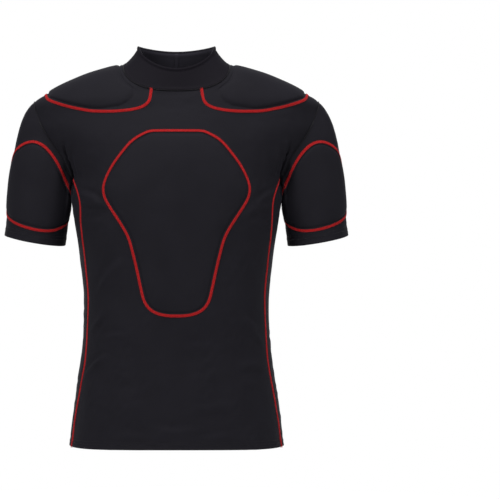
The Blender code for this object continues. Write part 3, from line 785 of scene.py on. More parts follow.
edge = ground["shoulder"]
shoulder_seam = np.concatenate([
    edge[-BACK_TURN:-1, 0], edge[-1], edge[-2::-1, -1], edge[0, -2::-1]])
beside_end = np.abs(neck_ring[:, 0] - shoulder_seam[-1, 0]) + LEFT_OUT * (neck_ring[:, 1] > 0)
neck_end = neck_ring[np.argmin(beside_end)]
last_spot = (1.0 - NECK_REACH) * shoulder_seam[-1] + NECK_REACH * neck_end
shoulder_seam = np.concatenate([shoulder_seam, [last_spot]])
open_seams = {"side_front": half_side[half_side[:, 0, 2] < RED_TOP_Z, 0],
              "side_back": half_side[:, -1], "shoulder": shoulder_seam}
RED_SEAMS = {"chest": (outline(ground["chest"]), True)}
for closed, lines in ((False, open_seams), (True, {"bicep": outline(ground["bicep"])})):
    for name, line in left_and_right(lines).items():
        RED_SEAMS[name] = (line, closed)
red_lines = {name: even_line(line, SEAM_STEP, closed, RED_SOFTEN)
             for name, (line, closed) in RED_SEAMS.items()}
red_length = sum(len(line) for line in red_lines.values()) * SEAM_STEP * METRES
print("red seams, in all:", round(red_length, 2), "m")

# %% [markdown]
# ## Folds
#
# Stretch cloth lies smooth over the body and gathers in a few short folds at the
# armpits and the waist. A simulation would put them somewhere else each time, so
# each fold is placed one by one, as a soft ridge with a trough beside it. It has one
# steep side and one gentle side, and no two are alike.

# %% The folds, one by one
# Columns: side, x0, z0, x1, z1, bow, reach, height, lean
BODY_FOLDS = (
    # Front, under the arms and beside the chest
    (-1, -163.0, -196.0, -118.0, -212.0, 4.0, 6.5, 1.9, 1),
    (-1, -160.0, -214.0, -104.0, -222.0, 5.0, 5.0, 1.5, -1),
    (-1, -157.0, -238.0, -112.0, -236.0, -4.0, 7.0, 1.1, 1),
    (-1, 164.0, -192.0, 126.0, -214.0, -4.0, 6.0, 1.6, -1),
    (-1, 160.0, -218.0, 112.0, -230.0, -5.0, 6.5, 1.4, 1),
    (-1, 158.0, -244.0, 118.0, -240.0, 3.0, 6.0, 0.9, -1),
    # Front, from the armpit up along the armhole
    (-1, -170.0, -160.0, -176.0, -112.0, 5.0, 6.5, 2.0, 1),
    (-1, -158.0, -168.0, -160.0, -120.0, 6.0, 9.0, 1.3, 1),
    (-1, -146.0, -176.0, -140.0, -138.0, 4.0, 9.0, 0.7, 1),
    (-1, 170.0, -158.0, 178.0, -108.0, -5.0, 7.0, 1.9, -1),
    (-1, 157.0, -166.0, 162.0, -118.0, -6.0, 9.0, 1.2, -1),
    (-1, 148.0, -180.0, 140.0, -142.0, -4.0, 9.0, 0.6, -1),
    # Front waist
    (-1, -128.0, -358.0, -80.0, -300.0, 7.0, 9.0, 1.4, 1),
    (-1, -140.0, -416.0, -116.0, -386.0, -4.0, 6.0, 1.3, -1),
    (-1, -122.0, -428.0, -80.0, -424.0, 4.0, 6.0, 0.9, 1),
    (-1, -146.0, -486.0, -104.0, -455.0, 5.0, 6.5, 1.7, 1),
    (-1, -140.0, -470.0, -112.0, -450.0, -4.0, 5.0, 1.0, -1),
    (-1, 132.0, -412.0, 108.0, -390.0, 4.0, 7.0, 1.2, -1),
    (-1, 140.0, -442.0, 112.0, -416.0, -5.0, 6.0, 1.1, 1),
    (-1, 146.0, -478.0, 96.0, -476.0, -6.0, 7.5, 1.5, 1),
    (-1, 136.0, -500.0, 104.0, -490.0, 4.0, 6.0, 0.8, -1),
    # Front, low on the belly and near the hem
    (-1, -48.0, -566.0, 44.0, -568.0, -5.0, 8.0, 0.8, 1),
    (-1, -96.0, -582.0, -30.0, -588.0, 3.0, 7.0, 0.6, -1),
    (-1, 30.0, -586.0, 102.0, -580.0, 3.0, 7.0, 0.6, 1),
    (-1, 20.0, -545.0, 96.0, -536.0, 4.0, 9.0, 0.5, -1),
    # Back, fans at the armpits
    (1, 172.0, -160.0, 150.0, -118.0, 4.0, 6.5, 1.8, 1),
    (1, 166.0, -172.0, 132.0, -142.0, 5.0, 7.0, 1.2, 1),
    (1, -172.0, -158.0, -146.0, -122.0, -4.0, 6.5, 1.6, -1),
    (1, -165.0, -170.0, -134.0, -136.0, -5.0, 8.0, 1.3, -1),
    (1, -160.0, -186.0, -120.0, -166.0, 3.0, 7.0, 0.7, -1),
    # Back waist, slanting towards the side seams
    (1, 104.0, -312.0, 128.0, -362.0, 5.0, 6.5, 2.2, -1),
    (1, 92.0, -338.0, 116.0, -398.0, -4.0, 5.5, 1.6, 1),
    (1, 78.0, -300.0, 66.0, -352.0, 4.0, 6.5, 1.1, -1),
    (1, 96.0, -420.0, 66.0, -444.0, 4.0, 6.5, 1.2, 1),
    (1, 112.0, -404.0, 92.0, -430.0, 3.0, 6.0, 0.9, -1),
    (1, 134.0, -388.0, 118.0, -424.0, 3.0, 5.5, 1.0, 1),
    (1, -72.0, -322.0, -92.0, -372.0, 4.0, 6.5, 1.9, 1),
    (1, -88.0, -318.0, -104.0, -356.0, -3.0, 5.0, 1.2, -1),
    (1, -112.0, -352.0, -128.0, -392.0, 4.0, 6.0, 1.2, 1),
    (1, -104.0, -410.0, -84.0, -440.0, 4.0, 7.0, 0.8, -1),
    (1, -8.0, -322.0, -14.0, -372.0, 2.0, 6.0, 0.6, 1),
    (1, -36.0, -352.0, -30.0, -402.0, 3.0, 6.0, 0.6, -1),
    (1, 22.0, -340.0, 18.0, -392.0, -3.0, 6.0, 0.5, 1),
    # Back, hip and hem
    (1, 146.0, -500.0, 104.0, -512.0, 5.0, 9.0, 1.4, 1),
    (1, -148.0, -498.0, -112.0, -514.0, -4.0, 8.0, 1.0, -1),
    (1, -60.0, -556.0, 70.0, -552.0, 5.0, 8.0, 0.6, 1),
)
# Columns: around0, along0, around1, along1, bow, reach, height, lean
SLEEVE_FOLDS = {
    "left": (
        (0.985, 0.10, 0.80, 0.16, 4.0, 6.0, 2.0, 1),
        (0.975, 0.22, 0.77, 0.33, -5.0, 5.5, 1.7, 1),
        (0.96, 0.34, 0.80, 0.50, 4.0, 6.5, 1.2, -1),
        (0.90, 0.02, 0.74, 0.05, 3.0, 6.0, 1.3, 1),
        (0.09, 0.08, 0.17, 0.05, 3.0, 5.0, 1.6, 1),
        (0.05, 0.22, 0.10, 0.14, 2.0, 5.0, 1.2, -1),
        (0.66, 0.30, 0.60, 0.62, 5.0, 9.0, 0.7, 1),
        (0.86, 0.62, 0.70, 0.70, 3.0, 8.0, 0.6, -1),
    ),
    "right": (
        (0.99, 0.12, 0.79, 0.10, -4.0, 6.0, 2.2, -1),
        (0.98, 0.24, 0.76, 0.28, 4.0, 6.0, 1.8, 1),
        (0.965, 0.36, 0.84, 0.46, -4.0, 5.5, 1.4, 1),
        (0.92, 0.03, 0.80, 0.02, 3.0, 6.0, 1.2, -1),
        (0.08, 0.10, 0.16, 0.06, -3.0, 5.0, 1.5, -1),
        (0.05, 0.25, 0.11, 0.18, 3.0, 5.5, 1.0, 1),
        (0.68, 0.34, 0.63, 0.66, -5.0, 9.0, 0.6, -1),
        (0.88, 0.60, 0.74, 0.74, -3.0, 8.0, 0.7, 1),
    ),
}
FOLD_SAMPLES = 28
FRONT_FOLDS_BY, BACK_FOLDS_BY, SLEEVE_FOLDS_BY = 1.6, 2.1, 1.7
# The fold's steep side, its trough's share, place and width, how far it reaches
# and how it ends
FOLD_STEEP = 1.9
TROUGH, TROUGH_PLACE, TROUGH_WIDTH = 0.6, 1.25, 0.75
FOLD_REACHES = 4.5
FOLD_TAPER = 0.8
BODY_CENTRE_Y = 15.0


def unit(vectors):
    """Vectors made one unit long."""
    return vectors / np.maximum(np.linalg.norm(vectors, axis=-1, keepdims=True), 1e-9)


def fold_path(row, place):
    """A fold's line of points on the cloth, bowed sideways in its middle."""
    start, end, bow = np.array(row[:2]), np.array(row[2:4]), row[4]
    part = np.linspace(0.0, 1.0, FOLD_SAMPLES)[:, None]
    flat = place(*(start + (end - start) * part).T)
    middle = flat[FOLD_SAMPLES // 2]
    out = unit(middle - [0.0, BODY_CENTRE_Y, middle[2]])
    sideways = np.cross(out, unit(flat[-1] - flat[0]))
    return flat + sideways * bow * np.sin(math.pi * part)


folds = []
for side, *row in BODY_FOLDS:
    line = fold_path(row, lambda x, z, s=side: body_point(x, z, s))
    reach, height, lean = row[5:]
    folds.append((line, reach, height * (FRONT_FOLDS_BY if side < 0 else BACK_FOLDS_BY), lean))
for name, rows in SLEEVE_FOLDS.items():
    for row in rows:
        line = fold_path(row, arm_point) * (1.0 if name == "left" else MIRROR)
        reach, height, lean = row[5:]
        folds.append((line, reach, height * SLEEVE_FOLDS_BY, lean))
print("folds placed by hand:", len(folds))

# %% How far each point of cloth is moved in or out
QUIET_REACH = 9.0
NECK_GROOVE = 1.1
NECK_GROOVE_REACH = 1.4
# Slow swells, and finer ripples that are strongest in patches and low on the body
SWELLS = 14
SWELL_HEIGHT = 0.16
RIPPLES = 26
RIPPLE_HEIGHT = 0.055
PATCHES = 5
chance = np.random.RandomState(11)
SWELL_WAYS = unit(chance.normal(size=(SWELLS, 3))) / chance.uniform(9.0, 22.0, (SWELLS, 1))
SWELL_STARTS = chance.uniform(0.0, 2.0 * math.pi, SWELLS)
RIPPLE_WAYS = unit(chance.normal(size=(RIPPLES, 3)) * [0.45, 0.45, 1.0])
RIPPLE_WAYS = RIPPLE_WAYS * 2.0 * math.pi / chance.uniform(11.0, 27.0, (RIPPLES, 1))
RIPPLE_STARTS = chance.uniform(0.0, 2.0 * math.pi, RIPPLES)


def point_normals(grid, ring):
    """Unit normals of a grid of points, pointing out of the shirt."""
    if ring:
        across = np.roll(grid, -1, axis=1) - np.roll(grid, 1, axis=1)
    else:
        across = np.gradient(grid, axis=1)
    return unit(np.cross(across, np.gradient(grid, axis=0)))


def fold_heights(points, normals):
    """How high the listed folds lift each point."""
    lift = np.zeros(len(points))
    for line, reach, height, lean in folds:
        gap, which = nearest(points, line)
        near = np.flatnonzero(gap < FOLD_REACHES * reach)
        if len(near) == 0:
            continue
        spots = which[near]
        along = unit(np.gradient(line, axis=0))[spots]
        across = np.cross(normals[near], along)
        hand = np.sign(np.sum(across * (points[near] - line[spots]), axis=1)) * lean
        t = gap[near] * hand / reach
        ridge = np.exp(-np.where(t > 0, FOLD_STEEP * t, t) ** 2)
        trough = TROUGH * np.exp(-((t - TROUGH_PLACE) / TROUGH_WIDTH) ** 2)
        taper = np.sin(math.pi * spots / (FOLD_SAMPLES - 1)) ** FOLD_TAPER
        lift[near] += height * (ridge - trough) * taper
    return lift


def relief(grid, ring, still):
    """The folds and slow swells of one piece of cloth, quiet near its seams."""
    normal = point_normals(grid, ring).reshape(-1, 3)
    points = grid.reshape(-1, 3)
    waves = np.sin(points @ SWELL_WAYS.T + SWELL_STARTS)
    patches = np.clip(0.65 + 0.35 * waves[:, :PATCHES].sum(axis=1), 0.15, 1.3)
    low = np.clip(1.0 - (points[:, 2] + 250.0) / 300.0, 0.5, 1.0)
    ripple = np.sin(points @ RIPPLE_WAYS.T + RIPPLE_STARTS).sum(axis=1) * patches * low
    lift = fold_heights(points, normal)
    lift = lift + SWELL_HEIGHT * waves.sum(axis=1) + RIPPLE_HEIGHT * ripple
    for line in still:
        calm = np.clip(nearest(points, line)[0] / QUIET_REACH, 0.0, 1.0)
        lift = lift * calm * calm * (3.0 - 2.0 * calm)
    neck_gap = nearest(points, even_line(neck_ring, 1.0, True, 0))[0]
    lift = lift - NECK_GROOVE * np.exp(-(neck_gap / NECK_GROOVE_REACH) ** 2)
    return lift.reshape(grid.shape[:2])


half_ring = {"left": ring, "right": ring * MIRROR}
ridge_line = half_front[-1, NECK_COLUMNS:]
edges = [neck_ring, ring, half_ring["right"], ridge_line, ridge_line * MIRROR]
still_lines = edges + list(red_lines.values())
print("lines that hold the cloth still:", len(still_lines))

# %% [markdown]
# ## Thin cloth
#
# Each panel is an open surface through its grid, thickened inwards with Solidify
# and rounded along its cut edges with Bevel. Its own UV map measures the flat
# cloth in metres, so the knit keeps its real size wherever the panel goes.

# %% Turning a grid into a thin wall
CLOTH = 1.5
EDGE_ROUND = 0.45
BEVEL_ANGLE, SHARP_ANGLE = math.radians(55), math.radians(60)
# A hem is folded double, so its wall is thicker than the single cloth's
FOLDED_BY = 1.25
SINGLE_SHARE = 0.62


def closed_up(grid, ring):
    """A grid with its first column once more at the end, where it is a ring."""
    return np.concatenate([grid, grid[:, :1]], axis=1) if ring else grid


def flat_sizes(grid):
    """Length along each row and up each column of a grid, in metres."""
    u = travelled(np.swapaxes(grid, 0, 1)).T * METRES
    return u - u[:, grid.shape[1] // 2][:, None], travelled(grid) * METRES


def add_object(name, data):
    """A new object in the scene."""
    made = bpy.data.objects.new(name, data)
    bpy.context.scene.collection.objects.link(made)
    return made


def add_mesh(name, points, faces, flat=None):
    """A new object with a smooth mesh, from points in millimetres.

    flat is each face corner's place on the flat cloth, in metres.
    """
    mesh = bpy.data.meshes.new(name)
    mesh.from_pydata((np.reshape(points, (-1, 3)) * METRES).tolist(), [], faces)
    if flat is not None:
        mesh.uv_layers.new(name="cut").data.foreach_set("uv", flat.ravel())
    mesh.shade_smooth()
    return add_object(name, mesh)


def surface(name, grid, ring):
    """An open surface through a grid of points, with its UV map."""
    rows, columns = grid.shape[:2]
    u, v = flat_sizes(closed_up(grid, ring))
    if ring:
        u[:] = u.mean(axis=0)
        v[:, -1] = v[:, 0]
    faces, corners = [], []
    for r in range(rows - 1):
        for c in range(columns if ring else columns - 1):
            this, over, n = r * columns, (r + 1) * columns, (c + 1) % columns
            faces.append((this + c, this + n, over + n, over + c))
            corners += [(r, c), (r, c + 1), (r + 1, c + 1), (r + 1, c)]
    spots = tuple(np.transpose(corners))
    return add_mesh(name, grid, faces, np.column_stack([u[spots], v[spots]]))


def settle(piece):
    """Apply a piece's modifiers and leave a plain mesh."""
    settled = piece.evaluated_get(bpy.context.evaluated_depsgraph_get())
    result = bpy.data.meshes.new_from_object(settled)
    piece.modifiers.clear()
    piece.data = result
    return piece


def cloth_wall(name, grid, ring, thick=CLOTH, folded=0.0, rounding=EDGE_ROUND):
    """One cloth piece as a thin wall with softly rounded edges."""
    piece = surface(name, grid, ring)
    for side in ("outside", "inside"):
        piece.data.materials.append(None)
    wall = piece.modifiers.new("wall", "SOLIDIFY")
    wall.thickness = thick * METRES
    wall.offset = -1.0
    wall.material_offset = 1
    wall.use_even_offset = True
    if folded:
        group = piece.vertex_groups.new(name="fold")
        columns = grid.shape[1]
        for row, high in enumerate(travelled(grid).mean(axis=1)):
            part = 1.0 if high < folded else SINGLE_SHARE
            group.add(range(row * columns, (row + 1) * columns), part, "REPLACE")
        wall.vertex_group = group.name
        wall.thickness *= FOLDED_BY
    rounded = piece.modifiers.new("edges", "BEVEL")
    rounded.width = rounding * METRES
    rounded.segments = 2 if rounding == EDGE_ROUND else 4
    rounded.limit_method = "ANGLE"
    rounded.angle_limit = BEVEL_ANGLE
    settle(piece)
    piece.data.shade_smooth()
    piece.data.set_sharp_from_angle(angle=SHARP_ANGLE)
    return piece

# %% The panels, sleeves and collar
HEM_FOLD = 13.0
CUFF_FOLD = 16.0
HEM_GROOVE, HEM_GROOVE_REACH = 0.5, 1.8
# A hem waves a little at its edge: how high, how long and how far up
HEM_WAVE, HEM_WAVE_STEP, HEM_WAVE_REACH = 0.25, 0.11 * 3.2, 9.0
COLLAR_WALL = 4.2
COLLAR_ROUND = 2.0
# The collar's rolled lip and the dent under it, by distance below the top edge,
# and its roll just over the seam: height, place and reach of each
COLLAR_LIP = (1.1, 2.2, 2.4)
COLLAR_DENT = (-0.44, 6.2, 1.3)
SEAM_ROLL = (0.8, 2.0, 2.0)


def hump(at, form):
    """A soft ridge: its height, its place and its reach are the form."""
    height, place, reach = form
    return height * np.exp(-((at - place) / reach) ** 2)


def hem_relief(grid, fold):
    """A shallow groove where the folded edge is stitched down."""
    height = travelled(grid)
    turn = HEM_WAVE_STEP * np.arange(1, grid.shape[1] + 1)
    wave = HEM_WAVE * np.sin(turn)[None, :] * np.exp(-height / HEM_WAVE_REACH)
    return wave - hump(height, (HEM_GROOVE, fold, HEM_GROOVE_REACH))


def collar_relief(grid):
    """The collar's rolled top edge, and its fullness just over the seam."""
    height = travelled(grid)
    below = height[-1] - height
    return hump(below, COLLAR_LIP) + hump(below, COLLAR_DENT) + hump(height, SEAM_ROLL)


def dressed(grid, ring, fold=0.0):
    """A piece's grid with its folds and its hem's groove."""
    lift = relief(grid, ring, still_lines)
    if fold:
        lift = lift + hem_relief(grid, fold)
    return grid + point_normals(grid, ring) * lift[..., None]


cloth = {}
cloth["front_panel"] = (dressed(both_halves(half_front), False, HEM_FOLD), False, HEM_FOLD)
cloth["back_panel"] = (dressed(both_halves(half_back)[:, ::-1], False, HEM_FOLD), False, HEM_FOLD)
for name, flip in (("left", 1.0), ("right", -1.0)):
    way = slice(None) if flip > 0 else slice(None, None, -1)
    turned = (half_side * [flip, 1.0, 1.0])[:, way]
    cloth["side_panel_" + name] = (dressed(turned, False, HEM_FOLD), False, HEM_FOLD)
    turned = (half_sleeve * [flip, 1.0, 1.0])[:, way]
    cloth["sleeve_" + name] = (dressed(turned, True, CUFF_FOLD), True, CUFF_FOLD)
rolled = collar + point_normals(collar, True) * collar_relief(collar)[..., None]
cloth["collar"] = (rolled, True, 0.0)
shirt = {}
for name, (grid, closed, fold) in cloth.items():
    size = (COLLAR_WALL, fold, COLLAR_ROUND) if name == "collar" else (CLOTH, fold)
    shirt[name] = cloth_wall(name + "_cloth", grid, closed, *size)
    print(name, len(shirt[name].data.polygons), "faces")

# %% [markdown]
# ## Pads
#
# A pad is a block of foam under a skin of the same cloth, sewn down all round.
# It starts as a closed form on its ground: flat near the seam, then a soft step
# up to the foam. A short cloth simulation with a little pressure inside, held
# fast at the seam, lets the skin draw over the foam's edge as the real one does.

# %% Foam pads
# Columns: flange, step, edge_height, height
PAD_FORM = {
    "chest": (4.4, 4.6, 2.5, 5.3),
    "shoulder": (4.4, 4.6, 3.1, 6.0),
    "bicep": (4.2, 4.4, 2.3, 4.5),
}
PAD_RIM = 0.9
PAD_SINK = 0.9
PAD_CROWN = 16.0
PAD_PRESSURE = 4.0
PAD_CAP = 0.9
PAD_FRAMES = 20
PAD_SKIN = {
    "quality": 4, "mass": 0.2, "tension_stiffness": 40, "compression_stiffness": 40,
    "shear_stiffness": 10, "bending_stiffness": 2.0, "use_pressure": True,
    "uniform_pressure_force": PAD_PRESSURE,
}
# The foam's edge on the shoulder's front leaves the seam and turns up to the
# collar. It counts only in front of a line along the shoulder.
SHOULDER_FOAM_EDGE = (
    (89.0, 14.0), (77.0, -5.0), (69.0, -22.5), (67.8, -36.0),
    (71.0, -43.5), (78.5, -50.5), (90.5, -56.5), (118.0, -60.0),
)
FOAM_STEP = 0.6
FOAM_FRONT_Y = 26.0


def foam_gap(points, kind):
    """How far points of a left pad lie inside its outline.

    Where the foam stops short of the outline, it is the distance inside the
    foam's own edge, plus the flange.
    """
    gap = nearest(points, even_line(outline(ground[kind]), FOAM_STEP, True, 0))[0]
    if kind != "shoulder":
        return gap
    edge = np.array(SHOULDER_FOAM_EDGE)
    line = even_line(body_point(edge[:, 0], edge[:, 1], -1), FOAM_STEP, False, 1)
    away, which = nearest(points, line)
    way = np.gradient(line, axis=0)[which]
    off = points - line[which]
    side = np.sign(way[:, 0] * off[:, 2] - way[:, 2] * off[:, 0])
    inside_foam = np.minimum(gap, away * side + PAD_FORM[kind][0])
    return np.where(points[:, 1] < FOAM_FRONT_Y, inside_foam, gap)


def pad_rise(gap, kind):
    """How high a pad stands over its ground, and how free its skin is."""
    flange, step, edge_height, height = PAD_FORM[kind]
    part = np.clip((gap - flange) / step, 0.0, 1.0)
    over = np.clip(gap - flange - 0.5 * step, 0.0, None)
    crown = (height - edge_height) * (1.0 - np.exp(-over / PAD_CROWN))
    rise = PAD_RIM + (edge_height - PAD_RIM) * part * part * (3.0 - 2.0 * part) + crown
    return rise, part


def pad_form(grid, kind, flip):
    """A closed pad on its ground, before the simulation."""
    gap = foam_gap(grid.reshape(-1, 3), kind).reshape(grid.shape[:2])
    rise, part = pad_rise(gap, kind)
    normal = point_normals(grid, False)
    top, bottom = grid + normal * rise[..., None], grid - normal * PAD_SINK
    if flip < 0:
        top, bottom = [(k * MIRROR)[:, ::-1] for k in (top, bottom)]
        part = part[:, ::-1]
    return top, bottom, part


def close_pad(name, top, bottom):
    """A closed mesh from a pad's top and underside, with its UV map."""
    rows, columns = top.shape[:2]
    base = rows * columns
    rim = outline(np.arange(base).reshape(rows, columns)).tolist()
    faces = [(k, k + 1, k + columns + 1, k + columns)
             for r in range(rows - 1) for k in range(r * columns, (r + 1) * columns - 1)]
    under = [(base + d, base + c, base + b, base + a) for a, b, c, d in faces]
    sides = [(b, a, base + a, base + b) for a, b in zip(rim, rim[1:] + rim[:1])]
    faces += under + sides
    u, v = flat_sizes(top)
    flat = np.column_stack([u.ravel(), v.ravel()])[np.ravel(faces) % base]
    return add_mesh(name, np.stack([top, bottom]), faces, flat)


def read_points(mesh, what="co"):
    """A mesh's points, or their normals, as an array."""
    values = np.empty(len(mesh.vertices) * 3)
    mesh.vertices.foreach_get(what, values)
    return values.reshape(-1, 3)


def puff(piece, part):
    """Let a pad's skin swell a little under pressure, held fast near its seam."""
    before = read_points(piece.data)
    held = piece.vertex_groups.new(name="held")
    for index, free in enumerate(part.ravel().tolist() + [0.0] * part.size):
        held.add([index], 1.0 if free <= 0.0 else 0.0, "REPLACE")
    skin = piece.modifiers.new("skin", "CLOTH")
    for name, value in PAD_SKIN.items():
        setattr(skin.settings, name, value)
    skin.settings.vertex_group_mass = held.name
    skin.settings.effector_weights.gravity = 0.0
    skin.collision_settings.use_collision = False
    skin.point_cache.frame_start = 1
    skin.point_cache.frame_end = PAD_FRAMES
    scene = bpy.context.scene
    for frame_number in range(1, PAD_FRAMES + 1):
        scene.frame_set(frame_number)
    settled = piece.evaluated_get(bpy.context.evaluated_depsgraph_get())
    move = read_points(settled.data) - before
    piece.modifiers.clear()
    size = np.linalg.norm(move, axis=1, keepdims=True)
    cap = PAD_CAP * METRES
    move = move * (cap * np.tanh(size / cap) / np.maximum(size, 1e-9))
    move[part.size:] = 0.0
    piece.data.vertices.foreach_set("co", (before + move).ravel())
    scene.frame_set(1)
    print(piece.name, "swelled by up to", round(float(size.max()) / METRES, 2), "mm")


# %% The skin's finer form
FOAM_GROOVE = (0.9, 0.4, 1.3)


def finish_pad(piece, kind, flip):
    """Subdivide a pad once, then press a fine groove along the foam's edge."""
    smooth = piece.modifiers.new("smooth", "SUBSURF")
    smooth.levels = smooth.render_levels = 1
    settle(piece)
    mesh = piece.data
    points, normals = read_points(mesh), read_points(mesh, "normal")
    gap = foam_gap(points / METRES * [flip, 1.0, 1.0], kind)
    press = hump(gap - PAD_FORM[kind][0], FOAM_GROOVE)
    middle = points.mean(axis=0) * [1.0, 0.0, 1.0]
    press = np.where(np.sum(normals * (points - middle), axis=1) > 0, press, 0.0)
    mesh.vertices.foreach_set("co", (points - normals * press[:, None] * METRES).ravel())
    mesh.shade_smooth()


pads = {}
pad_rows = [("chest_pad", "chest", 1.0)]
for kind in ("shoulder", "bicep"):
    pad_rows += [(kind + "_pad_left", kind, 1.0), (kind + "_pad_right", kind, -1.0)]
for name, kind, flip in pad_rows:
    top, bottom, part = pad_form(ground[kind], kind, flip)
    piece = close_pad(name + "_skin", top, bottom)
    puff(piece, part)
    finish_pad(piece, kind, flip)
    pads[name] = piece
    print(piece.name, len(piece.data.polygons), "faces")

# %% [markdown]
# ## Flatlock seams
#
# The red seams are flatlock: the two edges lie side by side under a band of
# thread, with needle lines along it and looper threads crossing it. First comes
# the low band itself. It follows the cloth's own normals, and where it sews down
# a pad it rises from the cloth to the pad's flange. Geometry Nodes then lay the
# single threads along it.

# %% The bands
# Columns: across, plain, on_pad
BAND_FORM = (
    (-1.0, 0.0, 0.0),
    (-0.8, 0.38, 0.5),
    (-0.42, 0.58, 1.0),
    (0.0, 0.64, 1.36),
    (0.42, 0.58, 1.5),
    (0.8, 0.38, 1.34),
    (1.0, 0.0, 0.9),
)
BAND_DEPTH = 0.8
RED_WIDTH = 4.6
SIDE_WIDTH = 3.6
BLACK_WIDTH, BLACK_CROWN = 2.6, 0.14
BACK_BAND_WIDTH, BACK_BAND_CROWN = 8.5, 0.9
NORMAL_SPREAD = 5
# Where the middles of the body and of an arm lie, to tell outside from inside
ARM_FROM_X, ARM_CENTRE_X, ARM_CENTRE_DROP = 170.0, 225.0, 20.0
BODY_SHARE_X, BODY_MIDDLE_Y, BODY_TOP_Z = 0.7, 10.0, -60.0

cover_points, cover_faces = [], []
for piece in shirt.values():
    start = len(cover_points)
    cover_points += [v.co.copy() for v in piece.data.vertices]
    cover_faces += [[start + k for k in f.vertices] for f in piece.data.polygons]
cover = BVHTree.FromPolygons(cover_points, cover_faces)


def line_frame(line, closed):
    """The way along, out of the shirt and across, at each point of a line."""
    out = np.array([tuple(cover.find_nearest(Vector(point * METRES))[1]) for point in line])
    arm = np.abs(line[:, 0]) > ARM_FROM_X
    centre = np.column_stack([
        np.where(arm, np.sign(line[:, 0]) * ARM_CENTRE_X, BODY_SHARE_X * line[:, 0]),
        np.full(len(line), BODY_MIDDLE_Y),
        np.where(arm, line[:, 2] - ARM_CENTRE_DROP, np.minimum(line[:, 2], BODY_TOP_Z)),
    ])
    turned = np.sum(out * (line - centre), axis=1, keepdims=True) < 0
    out = np.where(turned, -out, out)
    if closed:
        along = np.roll(line, -1, axis=0) - np.roll(line, 1, axis=0)
    else:
        along = np.gradient(line, axis=0)
    along = unit(along)
    ends = 3 * NORMAL_SPREAD
    out = np.pad(out, [(ends, ends), (0, 0)], mode="wrap" if closed else "edge")
    out = blurred(out, NORMAL_SPREAD)
    out = unit(out - np.sum(out * along, axis=1, keepdims=True) * along)
    return along, out, np.cross(out, along)


def band(name, line, closed, pad_middle=None, width=RED_WIDTH, crown=1.0, within=False):
    """A low closed band along a line, and the crown line its threads follow."""
    along, out, across = line_frame(line, closed)
    if within:
        out, across = -out, -across
    form = np.array(BAND_FORM)
    heights = form[:, 1] * crown
    if pad_middle is not None:
        heights = form[:, 2]
        inward = np.sum(across * (pad_middle - line)) > 0
        heights = heights if inward else heights[::-1]
    spots = form[:, 0] * 0.5 * width
    top = np.stack([line + across * spot + out * high for spot, high in zip(spots, heights)])
    under = np.stack([line + across * spot - out * BAND_DEPTH for spot in spots[::-1]])
    loop = np.concatenate([top, under]).swapaxes(0, 1)
    rows, columns = loop.shape[:2]
    faces = []
    for r in range(rows if closed else rows - 1):
        n = (r + 1) % rows
        for c in range(columns):
            d = (c + 1) % columns
            faces.append((r * columns + c, n * columns + c, n * columns + d, r * columns + d))
    if not closed:
        last = (rows - 1) * columns
        faces += [tuple(range(columns)), tuple(range(last, last + columns))[::-1]]
    piece = add_mesh(name, loop, faces)
    up = unit(np.cross(along, top[-1] - top[0]))
    up = np.where(np.sum(up * out, axis=1, keepdims=True) < 0, -up, up)
    middle = 0.25 * (top[2] + 2.0 * top[3] + top[4])
    return piece, middle, up, closed


neck_line = even_line(neck_ring, SEAM_STEP, True, 2)
on_cloth = [cover.find_nearest(Vector(point * METRES))[0] for point in neck_line]
neck_line = np.array([tuple(point) for point in on_cloth]) / METRES
black_lines = {"armhole_left": ring, "armhole_right": half_ring["right"][::-1], "neck": neck_line}
bands = {}
for name, line in red_lines.items():
    kind = name.split("_")[0]
    middle = None
    if kind in ground:
        middle = ground[kind].reshape(-1, 3).mean(axis=0)
        middle = middle * (MIRROR if name.endswith("right") else 1.0)
    width = SIDE_WIDTH if kind == "side" else RED_WIDTH
    bands[name] = band(name + "_band", line, RED_SEAMS[name][1], middle, width)
for name, line in black_lines.items():
    line = even_line(line, SEAM_STEP, True, 2)
    bands[name] = band(name + "_band", line, True, None, BLACK_WIDTH, BLACK_CROWN)
back_column = np.argmin(np.abs(collar[-1, :, 0]) + LEFT_OUT * (collar[-1, :, 1] < 0))
inside = cloth["collar"][0] - point_normals(cloth["collar"][0], True) * COLLAR_WALL
back_line = even_line(inside[1:-2, back_column], SEAM_STEP, False, 1)
bands["collar_back"] = band("collar_back_band", back_line, False, None,
                            BACK_BAND_WIDTH, BACK_BAND_CROWN, True)
print("bands:", len(bands))

# %% [markdown]
# ## Threads with Geometry Nodes
#
# One stitch is a few short curves: needle lines along the seam and two looper
# threads that cross it. Each curve gets a round section. The tree spaces the
# guide line's points by the stitch length and sets one stitch on each, turned by
# the line's direction and by the cloth's normal, which is kept on the guide as an
# attribute. Drawing two thousand stitches by hand would be slow and uneven.

# %% The stitch tree
def feed(tree, made, inputs):
    """Set a node's inputs to values, or join other sockets to them."""
    for key, value in inputs.items():
        if isinstance(value, bpy.types.NodeSocket):
            tree.links.new(value, made.inputs[key])
        else:
            made.inputs[key].default_value = value


def node(tree, kind, inputs=None, **settings):
    """Add a node, make its own settings and feed its inputs."""
    made = tree.nodes.new(kind)
    for name, value in settings.items():
        setattr(made, name, value)
    feed(tree, made, inputs or {})
    return made


def calc(tree, how, first, second=0.0):
    """A Math node on two sockets or numbers."""
    return node(tree, "ShaderNodeMath", {0: first, 1: second}, operation=how).outputs[0]


def times(tree, first, second):
    """A Math node that multiplies."""
    return calc(tree, "MULTIPLY", first, second)


def add_sockets(tree, way, kind, labels):
    """New named inputs or outputs of a node tree."""
    return [tree.interface.new_socket(label, in_out=way, socket_type="NodeSocket" + kind)
            for label in labels]


